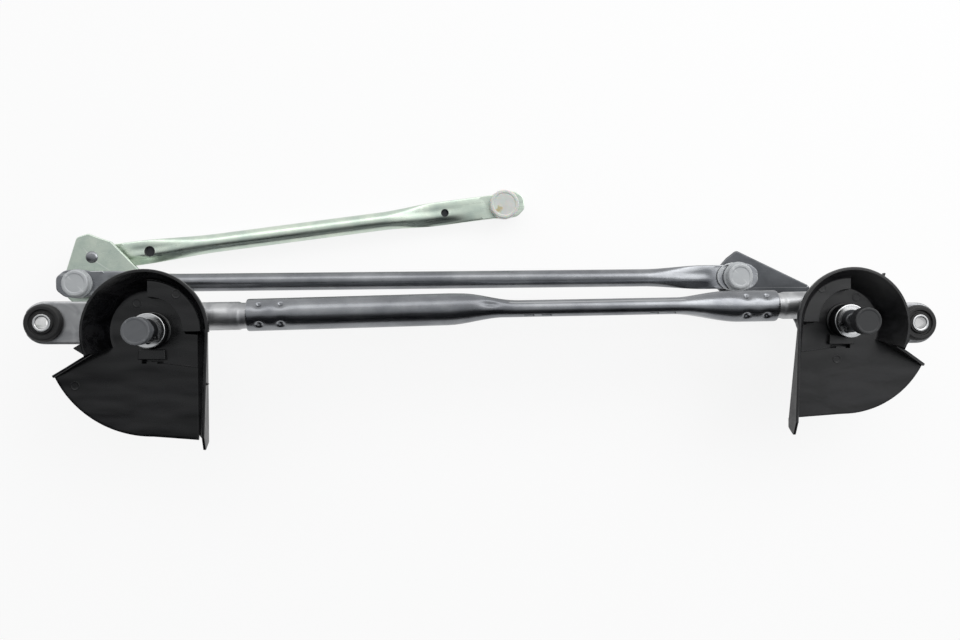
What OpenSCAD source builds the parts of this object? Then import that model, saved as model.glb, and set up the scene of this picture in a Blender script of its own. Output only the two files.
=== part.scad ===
// Windscreen wiper linkage: two cast pivot housings on a crimped frame tube, two cranks
// joined by a link rod, and a motor rod whose far socket hangs free.
// Lengths are in millimetres. Z runs along the spindles, X from the left mounting hole to
// the right one. The origin lies midway between those holes, level with the tube axis.

/* [Layout] */
// Distance between the two mounting holes
mount_span = 669; // [655:0.5:690]
// Left spindle axis, X
left_spindle_x = -253; // [-258:0.5:-248]
// Left spindle axis, Y
left_spindle_y = -5.5; // [-8:0.5:-3]
// Right spindle axis, X
right_spindle_x = 270; // [264:0.5:276]
// Right spindle axis, Y
right_spindle_y = 1.5; // [-1:0.5:4]
// Crank arm from a spindle to its link ball, X
arm_x = -69; // [-72:0.5:-66]
// Crank arm from a spindle to its link ball, Y
arm_y = 36; // [34:0.5:39]
// Left crank from the spindle to the motor ball, X
motor_arm_x = -63.5; // [-66:0.5:-61]
// Left crank from the spindle to the motor ball, Y
motor_arm_y = 57.5; // [56:0.5:61]
// Motor rod from the crank ball to the free socket, X
motor_reach_x = 328.5; // [300:0.5:350]
// Motor rod from the crank ball to the free socket, Y
motor_reach_y = 45.5; // [30:0.5:60]

/* [Frame tube] */
// Left end of the tube, X
tube_left_x = -186.5; // [-192:0.5:-184]
// Left end of the tube, Y
tube_left_y = 5.5; // [4:0.5:8]
// Right end of the tube, X
tube_right_x = 221; // [218:0.5:226]
// Right end of the tube, Y
tube_right_y = 13.5; // [12:0.5:16]
// Outer diameter of the round tube
tube_d = 24.5; // [24:0.1:26]
// Wall of the tube
tube_wall = 1.5; // [1.2:0.1:1.6]
// Width of the squeezed waist
waist_w = 12.4; // [11:0.1:15]
// Depth of the squeezed waist
waist_depth = 31; // [28:0.5:32]
// Where the tube starts to narrow, from its left end
waist_start = 162; // [155:1:170]
// Length over which the tube narrows or widens
waist_ramp = 30; // [24:1:36]
// Length of the narrow waist
waist_len = 142; // [130:1:150]
// Diameter of a crimp dimple
dimple_d = 5; // [4:0.1:6]
// Depth of a crimp dimple
dimple_depth = 0.8; // [0.4:0.1:1]

/* [Pivot housings] */
// Outer diameter of the bearing tube
bearing_d = 22; // [21:0.1:23]
// Top of the bearing tube
bearing_top = 24.5; // [23:0.5:26]
// Bottom of the bearing tube
bearing_bottom = -36; // [-38:0.5:-34]
// Diameter of the spigot in the tube
spigot_d = 21.4; // [20.6:0.1:21.4]
// Diameter of the neck beside the tube's end
neck_d = 19.6; // [17:0.1:20]
// Length of that neck
neck_len = 4.6; // [3:0.1:6]
// Length of spigot inside the tube
spigot_grip = 36; // [30:1:40]
// Thickness of the mounting arm
arm_t = 8; // [7:0.5:9]
// Outer radius of the mounting lug
lug_r = 16; // [15.5:0.1:17]
// Gap between the lug's two fork tips
fork_gap = 15; // [12:0.5:17]
// Thickness of a stiffening rib
rib_t = 5; // [4:0.5:6]
// Drop of a rib along the bearing tube
rib_drop = 26; // [20:1:30]
// Clear space between the left rib's end and the grommet
left_rib_gap = 29.5; // [10:0.5:32]
// Clear space between the right rib's end and the grommet
right_rib_gap = 12.5; // [10:0.5:16]
// Root of a spigot, from the spindle
spigot_root = 30; // [26:1:34]

/* [Mounting grommets] */
// Diameter of the hole through the spacer sleeve
bolt_hole_d = 9; // [8.4:0.1:10]
// Outer diameter of the spacer sleeve
sleeve_d = 13; // [12:0.1:14]
// Diameter of the grommet's groove
groove_d = 20.8; // [20:0.1:21.6]
// Diameter of the grommet's flanges
grommet_d = 28; // [26:0.1:29.5]
// Height of the grommet
grommet_h = 18; // [16:0.5:20]

/* [Spindles] */
// Diameter of the spindle
spindle_d = 12; // [11.6:0.1:12.4]
// Radial running clearance in the bushes
bush_clear = 0.04; // [0.02:0.01:0.08]
// Outer diameter of a bush
bush_d = 16; // [15.5:0.1:16.5]
// Length of a bush
bush_len = 14; // [10:0.5:18]
// Thickness of the seal ring
seal_t = 1.9; // [1.8:0.05:1.9]
// Diameter of the bright thrust washer
washer_d = 25.4; // [24:0.1:26]
// Thickness of the thrust washer
washer_t = 1.5; // [1:0.1:2]
// Diameter of the retaining clip
clip_d = 17.2; // [16.5:0.1:18]
// Thickness of the retaining clip
clip_t = 1.2; // [1:0.1:1.4]
// Depth of the clip's groove, on the diameter
clip_groove = 1.2; // [0.8:0.1:1.6]
// Plain shaft between the clip and the taper
taper_gap = 3; // [2:0.5:4]
// Shoulder between the taper and the thread, on the diameter
thread_shoulder = 1; // [0.6:0.1:1.2]
// Top of the knurled taper
taper_top = 40; // [38:0.5:41]
// Diameter of the threaded end
thread_d = 8; // [7.6:0.1:8.4]
// Top of the threaded end
thread_top = 49; // [48:0.5:49.5]

/* [Transport caps] */
// Diameter of a cap
cap_d = 19.8; // [18:0.1:21]
// Underside of a cap
cap_bottom = 42; // [41.5:0.5:43]
// Top of a cap
cap_top = 51.5; // [51:0.5:53]

/* [Cranks and balls] */
// Thickness of a crank plate
crank_t = 4; // [3.5:0.1:4.5]
// Gap between a housing and its crank, filled by a washer
crank_gap = 2; // [1.6:0.1:2.4]
// Diameter of a ball
ball_d = 16; // [15.8:0.1:16.1]
// Radial running clearance of a ball in its socket
ball_clear = 0.06; // [0.03:0.01:0.08]
// Extra clearance at the right link ball, where the loop is opened
open_clear = 0.1; // [0.05:0.01:0.15]
// Height of a ball's centre over its crank
ball_reach = 10; // [9.8:0.1:10.6]
// Diameter of a rivet head under a link ball stud
rivet_d = 9.5; // [8.6:0.1:10]
// Height of a rivet head
rivet_h = 1.6; // [1.2:0.1:1.8]

/* [Rods] */
// Diameter of the link rod
link_d = 14; // [13:0.1:15]
// Diameter of the motor rod
motor_d = 14.8; // [14:0.1:15.2]
// Wall of a rod
rod_wall = 1.6; // [1.4:0.1:2]
// Thickness of a flattened end
flat_t = 5; // [4.5:0.1:5]
// Width of a flattened end
flat_w = 19.4; // [18.8:0.1:20]
// Radius of an eye
eye_r = 11.5; // [11.2:0.1:12]
// Start of the link rod's round part, from an eye's centre
link_round_start = 71; // [60:1:85]
// Length of the blunt nose beyond an eye's centre
nose_len = 17; // [15:0.5:19]
// Length of the link rod's flat ends
link_flat = 22; // [20:1:30]
// Length of the motor rod's flat end at the crank
motor_flat = 54; // [50:1:58]
// Length of the motor rod's flat end at the free socket
free_flat = 58; // [54:1:60]
// Length over which the motor rod changes from flat to round
motor_ramp = 34; // [28:1:40]
// Plating hole near the crank, from the eye's centre
crank_hole_at = 41.5; // [38:0.5:44]
// Diameter of that hole
crank_hole_d = 8.6; // [6:0.1:10]
// Plating hole near the free socket, from the eye's centre
free_hole_at = 49.3; // [44:0.5:50]
// Diameter of that hole
free_hole_d = 6.4; // [5:0.1:8]
// Diameter of the vent under a round part
vent_d = 4; // [3:0.1:5]

/* [Sockets] */
// Diameter of the socket inside an eye
core_d = 19.6; // [19.2:0.1:20]
// Diameter of a link socket's dome
dome_d = 20.2; // [19.8:0.1:21]
// Diameter of the free socket's dome
free_dome_d = 23.8; // [22:0.1:25]
// Diameter of a socket's flange on the eye
socket_flange_d = 24; // [22:0.1:25]
// Thickness of that flange
socket_flange_t = 2; // [1.5:0.1:2.5]
// Diameter of the lip behind the eye
lip_d = 22; // [21:0.1:23]
// Thickness of that lip
lip_t = 2.5; // [2:0.1:2.8]
// Diameter of the socket's mouth
mouth_d = 14; // [13:0.1:14.6]

/* [Rain shields] */
// Wall of a shield
shield_t = 2; // [1.8:0.1:2.2]
// Underside of a shield's floor
floor_z = 11; // [11:0.1:12]
// Top of a shield's rim
rim_z = 33; // [31:0.5:35]
// Top of the raised step over the spigot
step_z = 24; // [18:0.5:25]
// Inner radius of the raised step
step_r = 24; // [22:0.5:26]
// Width of the sloping wall in plan
slope_w = 12.5; // [11:0.1:14]
// Left rim's centre below the spindle
left_rim_drop = 1; // [0:0.1:2]
// Right rim's centre below the spindle
right_rim_drop = 2.8; // [1.5:0.1:3.5]
// Right rim's centre toward its straight wall
right_rim_shift = 0.9; // [0:0.1:1.5]
// Lean of the left straight wall's foot at its upper end
left_lean = 9.5; // [8:0.5:10]
// Lean of the left straight wall's foot at its tip
left_tip_lean = 8; // [6:0.5:9]
// Lean of the right straight wall's foot at its upper end
right_lean = 8; // [6:0.5:9]
// Lean of the right straight wall's foot at its tip
right_tip_lean = 8; // [6:0.5:9]
// Left notch edge above a line through the spindle
left_notch_off = 5.6; // [4.5:0.1:7]
// Right notch edge above a line through the spindle
right_notch_off = 1.8; // [1:0.1:3]
// Wall of the collar on the bearing tube
collar_t = 1.5; // [1.2:0.1:1.6]
// Angle where the left round wall ends at the notch
left_notch_turn = 202; // [201:0.5:203]
// Angle where the right round wall ends at the notch
right_notch_turn = 204; // [203:0.5:205]
// Angle of the notch's long edge below the X direction
notch_edge_turn = 29; // [27:1:31]
// Width of the snap tab
tab_w = 20; // [16:0.5:22]
// Length of the snap tab
tab_len = 7.5; // [6:0.5:8]
// Height of the snap tab
tab_h = 5; // [4:0.5:6]
// Foot of the left snap tab, below the spindle
left_tab_foot = 21.5; // [20.5:0.5:23]
// Foot of the right snap tab, below the spindle
right_tab_foot = 18; // [17:0.5:20]
// Shift of the right snap tab toward the straight wall
right_tab_shift = 2.5; // [0:0.5:4]
// Width of the slot under the snap tab
slot_w = 3; // [2:0.5:4]
// Length of the straight wall's pointed tip
tip_len = 10; // [8:0.5:12]
// Drop of that tip below the rim
tip_drop = 5; // [3:0.5:8]
// Upright band at the top of the round wall
rim_band = 4; // [3:0.5:6]
// Outer edge of the raised step, inside the rim
step_margin = 6; // [5:0.5:8]
// Height of the notch's low wall below the rim, at the notch
notch_drop = 6; // [4:0.5:8]
// Height of that wall over the floor, at the fan's tip
notch_tip_h = 6; // [4:0.5:8]
// Depth of the straight wall's outer skirt at its tip
skirt_h = 14; // [12:0.5:16]
// Radius of the left rim
left_rim_r = 45.2; // [44:0.1:46.5]
// Radius of the right rim
right_rim_r = 43.4; // [42.5:0.1:44.5]
// Radius of the left fan
left_fan_r = 78.3; // [76:0.1:80]
// Radius of the right fan
right_fan_r = 72; // [70:0.1:74]
// Straight wall of the left shield at its upper end, from the spindle
left_wall_x = 44.6; // [43.5:0.1:45]
// Straight wall of the right shield at its upper end, from the spindle
right_wall_x = 44; // [42:0.1:44.2]
// Straight wall of the left shield at its tip, from the spindle
left_tip_x = 42.4; // [41:0.1:44]
// Straight wall of the right shield at its tip, from the spindle
right_tip_x = 46.2; // [44:0.1:47]
// Tip of the left straight wall, below the spindle
left_tip_y = 86.7; // [85:0.1:90]
// Tip of the right straight wall, below the spindle
right_tip_y = 86.2; // [84:0.1:89]

/* [Hidden] */
$fn = 64;
HULL_FN = 32;
// thickness of the slices that hulls are drawn between, and the overlap of joined solids
eps = 0.2;
// gap between a washer and the casting it runs on
run_gap = 0.05;

tube_dx = tube_right_x - tube_left_x;
tube_dy = tube_right_y - tube_left_y;
tube_len = norm([tube_dx, tube_dy]);
tube_turn = atan2(tube_dy, tube_dx);
waist_end = waist_start + 2 * waist_ramp + waist_len;

crank_top = bearing_bottom - crank_gap;
crank_bottom = crank_top - crank_t;
link_z = crank_top + ball_reach;
motor_z = crank_bottom - ball_reach;
stud_neck_d = 9;
stud_tail_d = 8;
stud_collar_d = 14;
stud_collar_t = 1.6;
shank_d = 10;
shank_head_d = 17;
shank_head_h = 2;
washer_z = bearing_top + run_gap;
clip_z = washer_z + washer_t;
clip_seat_d = spindle_d - clip_groove;
taper_bottom = clip_z + clip_t + taper_gap;
cap_clear = 0.06;
// lower and inner edges of a shield's raised step, from the spindle
step_edge = -1;

lug_left_x = -mount_span / 2;
lug_right_x = mount_span / 2;
left_link_ball = [left_spindle_x + arm_x, left_spindle_y + arm_y];
right_link_ball = [right_spindle_x + arm_x, right_spindle_y + arm_y];
motor_ball = [left_spindle_x + motor_arm_x, left_spindle_y + motor_arm_y];
link_dx = right_spindle_x - left_spindle_x;
link_dy = right_spindle_y - left_spindle_y;
link_len = norm([link_dx, link_dy]);
link_turn = atan2(link_dy, link_dx);
motor_len = norm([motor_reach_x, motor_reach_y]);
motor_turn = atan2(motor_reach_y, motor_reach_x);
free_ball = [motor_ball[0] + motor_reach_x, motor_ball[1] + motor_reach_y];

// height of the tube's axis in plan above a place on X, and that place along the tube
function tube_y(x) = tube_left_y + (x - tube_left_x) * tube_dy / tube_dx;
function tube_s(x) = (x - tube_left_x) / cos(tube_turn);

SILVER = "lightgray";
ZINC = "darkgray";
GREEN_ZINC = [0.68, 0.74, 0.68];
BLACK = [0.1, 0.1, 0.11];
CAP_GREY = [0.25, 0.26, 0.27];

// Places

module at_left() { translate([left_spindle_x, left_spindle_y, 0]) children(); }

module at_right() { translate([right_spindle_x, right_spindle_y, 0]) children(); }

module at_point(p) { translate([p[0], p[1], 0]) children(); }

module along_tube() {
  translate([tube_left_x, tube_left_y, 0]) rotate([0, 0, tube_turn]) children();
}

module along_link() {
  translate([left_link_ball[0], left_link_ball[1], link_z]) rotate([0, 0, link_turn]) children();
}

module along_motor() {
  translate([motor_ball[0], motor_ball[1], motor_z]) rotate([0, 0, motor_turn]) children();
}

// Shared shapes

// round bar along X
module bar_x(x0, x1, d, fn = 64) {
  translate([x0, 0, 0]) rotate([0, 90, 0]) cylinder(h = x1 - x0, d = d, $fn = fn);
}

// bar along X with a rounded oblong section, w wide in Y and t deep in Z
module oblong_2d(w, t, fn = 64) {
  r = min(w, t) / 2;
  square([max(w - 2 * r, (w < t) ? w : 0), max(t - 2 * r, (t < w) ? t : 0)], center = true);
  for (side = [-1, 1])
    translate([side * (w / 2 - r), side * (t / 2 - r)]) circle(r = r, $fn = fn);
}

module oblong_x(x0, x1, w, t, fn = 64) {
  translate([x0, 0, 0]) rotate([90, 0, 90]) linear_extrude(x1 - x0) oblong_2d(w, t, fn);
}

// change from a round bar at x0 to an oblong one at x1
module ramp_x(x0, x1, d, w, t) {
  hull() {
    bar_x(min(x0, x0 + sign(x0 - x1) * eps), max(x0, x0 + sign(x0 - x1) * eps), d, HULL_FN);
    oblong_x(min(x1, x1 + sign(x1 - x0) * eps), max(x1, x1 + sign(x1 - x0) * eps), w, t, HULL_FN);
  }
}

module ring(z0, z1, outer_d, inner_d) {
  difference() {
    translate([0, 0, z0]) cylinder(h = z1 - z0, d = outer_d);
    translate([0, 0, z0 - 1]) cylinder(h = z1 - z0 + 2, d = inner_d);
  }
}

module post(z0, z1, d) { translate([0, 0, z0]) cylinder(h = z1 - z0, d = d); }

// Frame tube

module tube_body(d, w, depth, over) {
  bar_x(-over, waist_start, d);
  ramp_x(waist_start, waist_start + waist_ramp, d, w, depth);
  oblong_x(waist_start + waist_ramp, waist_start + waist_ramp + waist_len, w, depth);
  ramp_x(waist_end, waist_end - waist_ramp, d, w, depth);
  bar_x(waist_end, tube_len + over, d);
}

module frame_tube() {
  dimple_in = 9.5;
  dimple_pitch = 16;
  dimple_side = 41;
  color(ZINC) along_tube() difference() {
    tube_body(tube_d, waist_w, waist_depth, 0);
    tube_body(tube_d - 2 * tube_wall, waist_w - 2 * tube_wall, waist_depth - 2 * tube_wall, 1);
    for (x = [dimple_in, dimple_in + dimple_pitch])
      for (place = [x, tube_len - x])
        for (turn = [-dimple_side, dimple_side])
          rotate([turn, 0, 0])
            translate([place, 0, tube_d / 2 + dimple_d / 2 - dimple_depth])
              sphere(d = dimple_d);
  }
}

// Pivot housings

// flat arm from the lug to the root of the spigot, side is -1 for the left housing
module arm_2d(lug_x, spindle, side) {
  root_x = spindle[0] - side * spigot_root;
  root_y = tube_y(root_x);
  difference() {
    union() {
      translate([lug_x, 0]) circle(r = lug_r);
      polygon([
        [lug_x, -lug_r], [spindle[0], -lug_r],
        [root_x, root_y - spigot_d / 2 + 2], [root_x, root_y + spigot_d / 2 - 2],
        [spindle[0], lug_r], [lug_x, lug_r]
      ]);
    }
    translate([lug_x, 0]) circle(d = groove_d);
    translate([lug_x + side * lug_r, 0]) square([2 * lug_r, fork_gap], center = true);
  }
}

// rib that stands under the arm beside the bearing tube
module rib(reach) {
  rotate([90, 0, 0]) translate([0, 0, -rib_t / 2]) linear_extrude(rib_t)
    polygon([[0, 0], [reach, 0], [bearing_d / 2, -rib_drop], [0, -rib_drop]]);
}

module pivot_housing(lug_x, spindle, side, rib_gap, spigot_from, spigot_to, neck_from, grip_from) {
  rib_reach = abs(lug_x - spindle[0]) - grommet_d / 2 - rib_gap;
  difference() {
    union() {
      translate([0, 0, -arm_t / 2]) linear_extrude(arm_t) arm_2d(lug_x, spindle, side);
      translate([spindle[0], spindle[1], 0]) {
        post(bearing_bottom, bearing_top, bearing_d);
        rotate([0, 0, (side < 0) ? 180 : 0]) rib(rib_reach);
      }
      along_tube() {
        bar_x(spigot_from, spigot_to, spigot_d);
        bar_x(neck_from - eps, neck_from + neck_len + eps, neck_d);
        bar_x(grip_from, grip_from + spigot_grip, spigot_d);
      }
    }
    translate([spindle[0], spindle[1], 0]) post(bearing_bottom - 1, bearing_top + 1, bush_d);
  }
}

module left_pivot_housing() {
  color(SILVER)
    pivot_housing(lug_left_x, [left_spindle_x, left_spindle_y], -1, left_rib_gap,
                  tube_s(left_spindle_x) - 3, -neck_len, -neck_len, 0);
}

module right_pivot_housing() {
  color(SILVER)
    pivot_housing(lug_right_x, [right_spindle_x, right_spindle_y], 1, right_rib_gap,
                  tube_len + neck_len, tube_s(right_spindle_x) + 3, tube_len, tube_len - spigot_grip);
}

// Mounting grommets and sleeves

module grommet() {
  rotate_extrude()
    polygon([
      [sleeve_d / 2, -grommet_h / 2], [grommet_d / 2, -grommet_h / 2],
      [grommet_d / 2, -arm_t / 2], [groove_d / 2, -arm_t / 2],
      [groove_d / 2, arm_t / 2], [grommet_d / 2, arm_t / 2],
      [grommet_d / 2, grommet_h / 2], [sleeve_d / 2, grommet_h / 2]
    ]);
}

module left_grommet() { color(BLACK) at_point([lug_left_x, 0]) grommet(); }

module right_grommet() { color(BLACK) at_point([lug_right_x, 0]) grommet(); }

module sleeve() { ring(-grommet_h / 2 - 0.5, grommet_h / 2 + 0.5, sleeve_d, bolt_hole_d); }

module left_sleeve() { color(SILVER) at_point([lug_left_x, 0]) sleeve(); }

module right_sleeve() { color(SILVER) at_point([lug_right_x, 0]) sleeve(); }

// Bearing pieces

seal_top = bearing_top - 0.4;
upper_bush_top = seal_top - seal_t - 0.2;

module upper_bush() { ring(upper_bush_top - bush_len, upper_bush_top, bush_d, spindle_d + 2 * bush_clear); }

module lower_bush() { ring(bearing_bottom, bearing_bottom + bush_len, bush_d, spindle_d + 2 * bush_clear); }

module left_upper_bush() { color("darkgoldenrod") at_left() upper_bush(); }

module right_upper_bush() { color("darkgoldenrod") at_right() upper_bush(); }

module left_lower_bush() { color("darkgoldenrod") at_left() lower_bush(); }

module right_lower_bush() { color("darkgoldenrod") at_right() lower_bush(); }

module seal_ring() {
  translate([0, 0, seal_top - seal_t / 2]) rotate_extrude()
    translate([(bush_d - seal_t) / 2, 0]) circle(d = seal_t);
}

module left_seal_ring() { color(BLACK) at_left() seal_ring(); }

module right_seal_ring() { color(BLACK) at_right() seal_ring(); }

// Spindles and what turns with them

module spindle() {
  difference() {
    union() {
      post(crank_top, taper_bottom, spindle_d);
      translate([0, 0, taper_bottom])
        cylinder(h = taper_top - taper_bottom, d1 = spindle_d, d2 = thread_d + thread_shoulder);
      post(taper_top - eps, thread_top, thread_d);
      post(crank_bottom - eps, crank_top + eps, shank_d);
      translate([0, 0, crank_bottom - shank_head_h])
        cylinder(h = shank_head_h, d1 = shank_head_d - 4, d2 = shank_head_d);
    }
    ring(clip_z, clip_z + clip_t, spindle_d + 2, clip_seat_d);
  }
}

module left_spindle() { color("silver") at_left() spindle(); }

module right_spindle() { color("silver") at_right() spindle(); }

module thrust_washer() { ring(washer_z, washer_z + washer_t, washer_d, spindle_d); }

module left_thrust_washer() { color("whitesmoke") at_left() thrust_washer(); }

module right_thrust_washer() { color("whitesmoke") at_right() thrust_washer(); }

module spacer_washer() { ring(crank_top, bearing_bottom - run_gap, bearing_d, spindle_d); }

module left_spacer_washer() { color(SILVER) at_left() spacer_washer(); }

module right_spacer_washer() { color(SILVER) at_right() spacer_washer(); }

// open ring with a drilled ear on each side of its gap
module retaining_clip() {
  ear_d = 4;
  ear_turn = 24;
  ear_hole_d = 1.6;
  translate([0, 0, clip_z]) linear_extrude(clip_t) difference() {
    union() {
      circle(d = clip_d);
      for (turn = [-ear_turn, ear_turn])
        rotate(turn) translate([clip_d / 2 - 0.6, 0]) circle(d = ear_d);
    }
    circle(d = clip_seat_d);
    translate([clip_d / 2, 0]) square([clip_d, 4], center = true);
    for (turn = [-ear_turn, ear_turn])
      rotate(turn) translate([clip_d / 2 - 0.6, 0]) circle(d = ear_hole_d);
  }
}

module left_retaining_clip() { color("dimgray") at_left() rotate(-60) retaining_clip(); }

module right_retaining_clip() { color("dimgray") at_right() rotate(220) retaining_clip(); }

module transport_cap() {
  edge = 0.8;
  difference() {
    union() {
      post(cap_bottom, cap_top - edge, cap_d);
      translate([0, 0, cap_top - edge]) cylinder(h = edge, d1 = cap_d, d2 = cap_d - 2 * edge);
    }
    post(cap_bottom - 1, thread_top + run_gap, thread_d + 2 * cap_clear);
  }
}

module left_transport_cap() { color(CAP_GREY) at_left() transport_cap(); }

module right_transport_cap() { color(CAP_GREY) at_right() transport_cap(); }

// Cranks

module crank_holes_2d(stud_places) {
  circle(d = shank_d);
  for (p = stud_places) translate(p) circle(d = stud_tail_d);
}

// plate outlines are drawn from the spindle's axis
module left_crank_plate() {
  hub_r = 14;
  heel_r = 17;
  top_r = 18.5;
  arm = [arm_x, arm_y];
  motor_arm = [motor_arm_x, motor_arm_y];
  // the plate's right edge touches the hub and runs up past the motor stud
  edge_turn = 43.6;
  edge_top = motor_arm + [14.4, 12.6];
  color(GREEN_ZINC) at_left() translate([0, 0, crank_bottom]) linear_extrude(crank_t) difference() {
    union() {
      circle(r = hub_r);
      translate(arm) circle(r = heel_r);
      polygon([
        hub_r * [cos(edge_turn), sin(edge_turn)],
        edge_top,
        motor_arm + [4, 16], motor_arm + [-3, 18.8], motor_arm + [-12, 15.6],
        arm + heel_r * [cos(158), sin(158)],
        arm + heel_r * [cos(240), sin(240)],
        hub_r * [cos(240), sin(240)]
      ]);
    }
    crank_holes_2d([arm, motor_arm]);
  }
}

module right_crank_plate() {
  hub_r = 14;
  heel_r = 15;
  arm = [arm_x, arm_y];
  // corners of the plate's upper edge
  brow = [-4, 29.8];
  peak = arm + [3.8, 22.4];
  shoulder = arm + [-4.3, 16.2];
  // the lower edge is drawn in to a neck beside the hub
  neck = [-22, 4.5];
  neck_turn = 215;
  color(ZINC) at_right() translate([0, 0, crank_bottom]) linear_extrude(crank_t) difference() {
    union() {
      circle(r = hub_r);
      translate(arm) circle(r = heel_r);
      polygon([
        [6, hub_r - 1], brow, peak, shoulder,
        arm + heel_r * [cos(160), sin(160)],
        arm + heel_r * [cos(240), sin(240)],
        neck,
        hub_r * [cos(neck_turn), sin(neck_turn)]
      ]);
    }
    crank_holes_2d([arm]);
  }
}

// ball stud that stands up from z = 0, riveted through a plate below it
module ball_stud(rivet_head_d) {
  translate([0, 0, ball_reach]) sphere(d = ball_d);
  post(0, ball_reach - ball_d / 2 + 2, stud_neck_d);
  post(0, stud_collar_t, stud_collar_d);
  post(-crank_t - eps, eps, stud_tail_d);
  translate([0, 0, -crank_t - rivet_h])
    cylinder(h = rivet_h, d1 = rivet_head_d - 2, d2 = rivet_head_d);
}

module link_stud(p) { translate([p[0], p[1], crank_top]) ball_stud(rivet_d); }

module left_link_stud() { color("silver") link_stud(left_link_ball); }

module right_link_stud() { color("silver") link_stud(right_link_ball); }

module motor_stud() {
  color("silver") translate([motor_ball[0], motor_ball[1], crank_bottom])
    mirror([0, 0, 1]) ball_stud(rivet_d);
}

// Rods

// flat eye with a blunt nose that points away from the rod, way is -1 or 1
module eye(x, way) {
  translate([x, 0, -flat_t / 2]) linear_extrude(flat_t) {
    circle(r = eye_r);
    polygon([
      [0, eye_r], [way * nose_len * 0.66, eye_r * 0.86], [way * nose_len, eye_r * 0.42],
      [way * nose_len, -eye_r * 0.42], [way * nose_len * 0.66, -eye_r * 0.86], [0, -eye_r]
    ]);
  }
}

module eye_hole(x) { translate([x, 0, 0]) cylinder(h = 4 * flat_t, d = core_d, center = true); }

// vent from the underside into the round part's bore
module vent(x, d) { translate([x, 0, -d]) cylinder(h = d, d = vent_d); }

// hollow rod along X from an eye at 0 to one at len, flat near both eyes
module rod(len, d, flat_a, round_a, round_b, flat_b) {
  vent_in = 8;
  difference() {
    union() {
      eye(0, -1);
      oblong_x(0, flat_a, flat_w, flat_t);
      ramp_x(round_a, flat_a, d, flat_w, flat_t);
      bar_x(round_a, round_b, d);
      ramp_x(round_b, flat_b, d, flat_w, flat_t);
      oblong_x(flat_b, len, flat_w, flat_t);
      eye(len, 1);
    }
    eye_hole(0);
    eye_hole(len);
    bar_x(round_a, round_b, d - 2 * rod_wall);
    vent(round_a + vent_in, d);
    vent(round_b - vent_in, d);
  }
}

module link_rod() {
  color(ZINC) along_link()
    rod(link_len, link_d, link_flat, link_round_start, link_len - link_round_start, link_len - link_flat);
}

module motor_rod() {
  free_at = motor_len - free_flat;
  color(GREEN_ZINC) along_motor() difference() {
    rod(motor_len, motor_d, motor_flat, motor_flat + motor_ramp, free_at - motor_ramp, free_at);
    translate([crank_hole_at, 0, 0]) cylinder(h = 4 * flat_t, d = crank_hole_d, center = true);
    translate([motor_len - free_hole_at, 0, 0]) cylinder(h = 4 * flat_t, d = free_hole_d, center = true);
  }
}

// Sockets

// plastic cup on the ball at the origin, its dome up and its mouth down
module socket(dome, flange, clear) {
  edge = 1;
  top = ball_reach;
  flat = flat_t / 2;
  difference() {
    union() {
      post(flat, top - edge, dome);
      translate([0, 0, top - edge]) cylinder(h = edge, d1 = dome, d2 = dome - 2 * edge);
      post(flat, flat + socket_flange_t, flange);
      post(-flat, flat, core_d);
      post(-flat - lip_t, -flat, lip_d);
    }
    sphere(d = ball_d + 2 * clear);
    post(-flat - lip_t - 1, -flat, mouth_d);
  }
}

module left_link_socket() {
  color("gainsboro") translate([left_link_ball[0], left_link_ball[1], link_z])
    socket(dome_d, socket_flange_d, ball_clear);
}

module right_link_socket() {
  color("gainsboro") translate([right_link_ball[0], right_link_ball[1], link_z])
    socket(dome_d, socket_flange_d, open_clear);
}

module crank_motor_socket() {
  color("gainsboro") translate([motor_ball[0], motor_ball[1], motor_z]) mirror([0, 0, 1])
    socket(dome_d, socket_flange_d, ball_clear);
}

module free_motor_socket() {
  color("ivory") translate([free_ball[0], free_ball[1], motor_z])
    socket(free_dome_d, free_dome_d, ball_clear);
}

// Rain shields, drawn from the spindle's axis with the straight wall toward +X

// A straight wall is [x at its upper end, x at its tip, lean there, lean at its tip, reach of its tip].
function wall_x(wall, t) = wall[0] + t * (wall[1] - wall[0]);
function wall_lean(wall, t) = wall[2] + t * (wall[3] - wall[2]);

// plan of everything inside the straight wall's foot
module inside_wall_2d(wall) {
  far = 300;
  upper_x = wall_x(wall, 0) - wall_lean(wall, 0);
  tip_x = wall_x(wall, 1) - wall_lean(wall, 1);
  polygon([
    [upper_x, far], [upper_x, step_edge], [tip_x, -wall[4]], [tip_x, -far], [-far, -far], [-far, far]
  ]);
}

// fan below the notch's long edge, with a straight foot beside the wall
module fan_2d(fan_r, wall_x, notch_off) {
  foot = fan_r * 1.045;
  edge_y = notch_off / cos(notch_edge_turn);
  far = 2 * fan_r;
  intersection() {
    union() {
      circle(r = fan_r);
      polygon([[0, 0], [0, -fan_r], [wall_x, -foot], [wall_x, 0]]);
    }
    polygon([
      [wall_x, edge_y], [wall_x, -far], [-far, -far],
      [-far, edge_y - far * tan(notch_edge_turn)], [0, edge_y]
    ]);
  }
}

module shield_floor_2d(rim_r, rim_at, fan_r, wall, notch_off) {
  intersection() {
    union() {
      translate(rim_at) circle(r = rim_r - slope_w);
      fan_2d(fan_r, wall[1], notch_off);
    }
    inside_wall_2d(wall);
  }
}

// sloping wall on the rim's arc, from the straight wall round to the notch
module round_wall(rim_r, notch_turn) {
  foot_r = rim_r - slope_w;
  rotate_extrude(angle = notch_turn)
    polygon([
      [foot_r - shield_t, floor_z], [foot_r, floor_z], [rim_r, rim_z - rim_band], [rim_r, rim_z],
      [rim_r - shield_t, rim_z], [foot_r - shield_t, floor_z + shield_t]
    ]);
}

// plate in the straight wall's plane, given by its outline in Y and Z
module wall_plate(wall_x, outline) {
  translate([wall_x - shield_t, 0, 0]) rotate([90, 0, 90]) linear_extrude(shield_t) polygon(outline);
}

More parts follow.
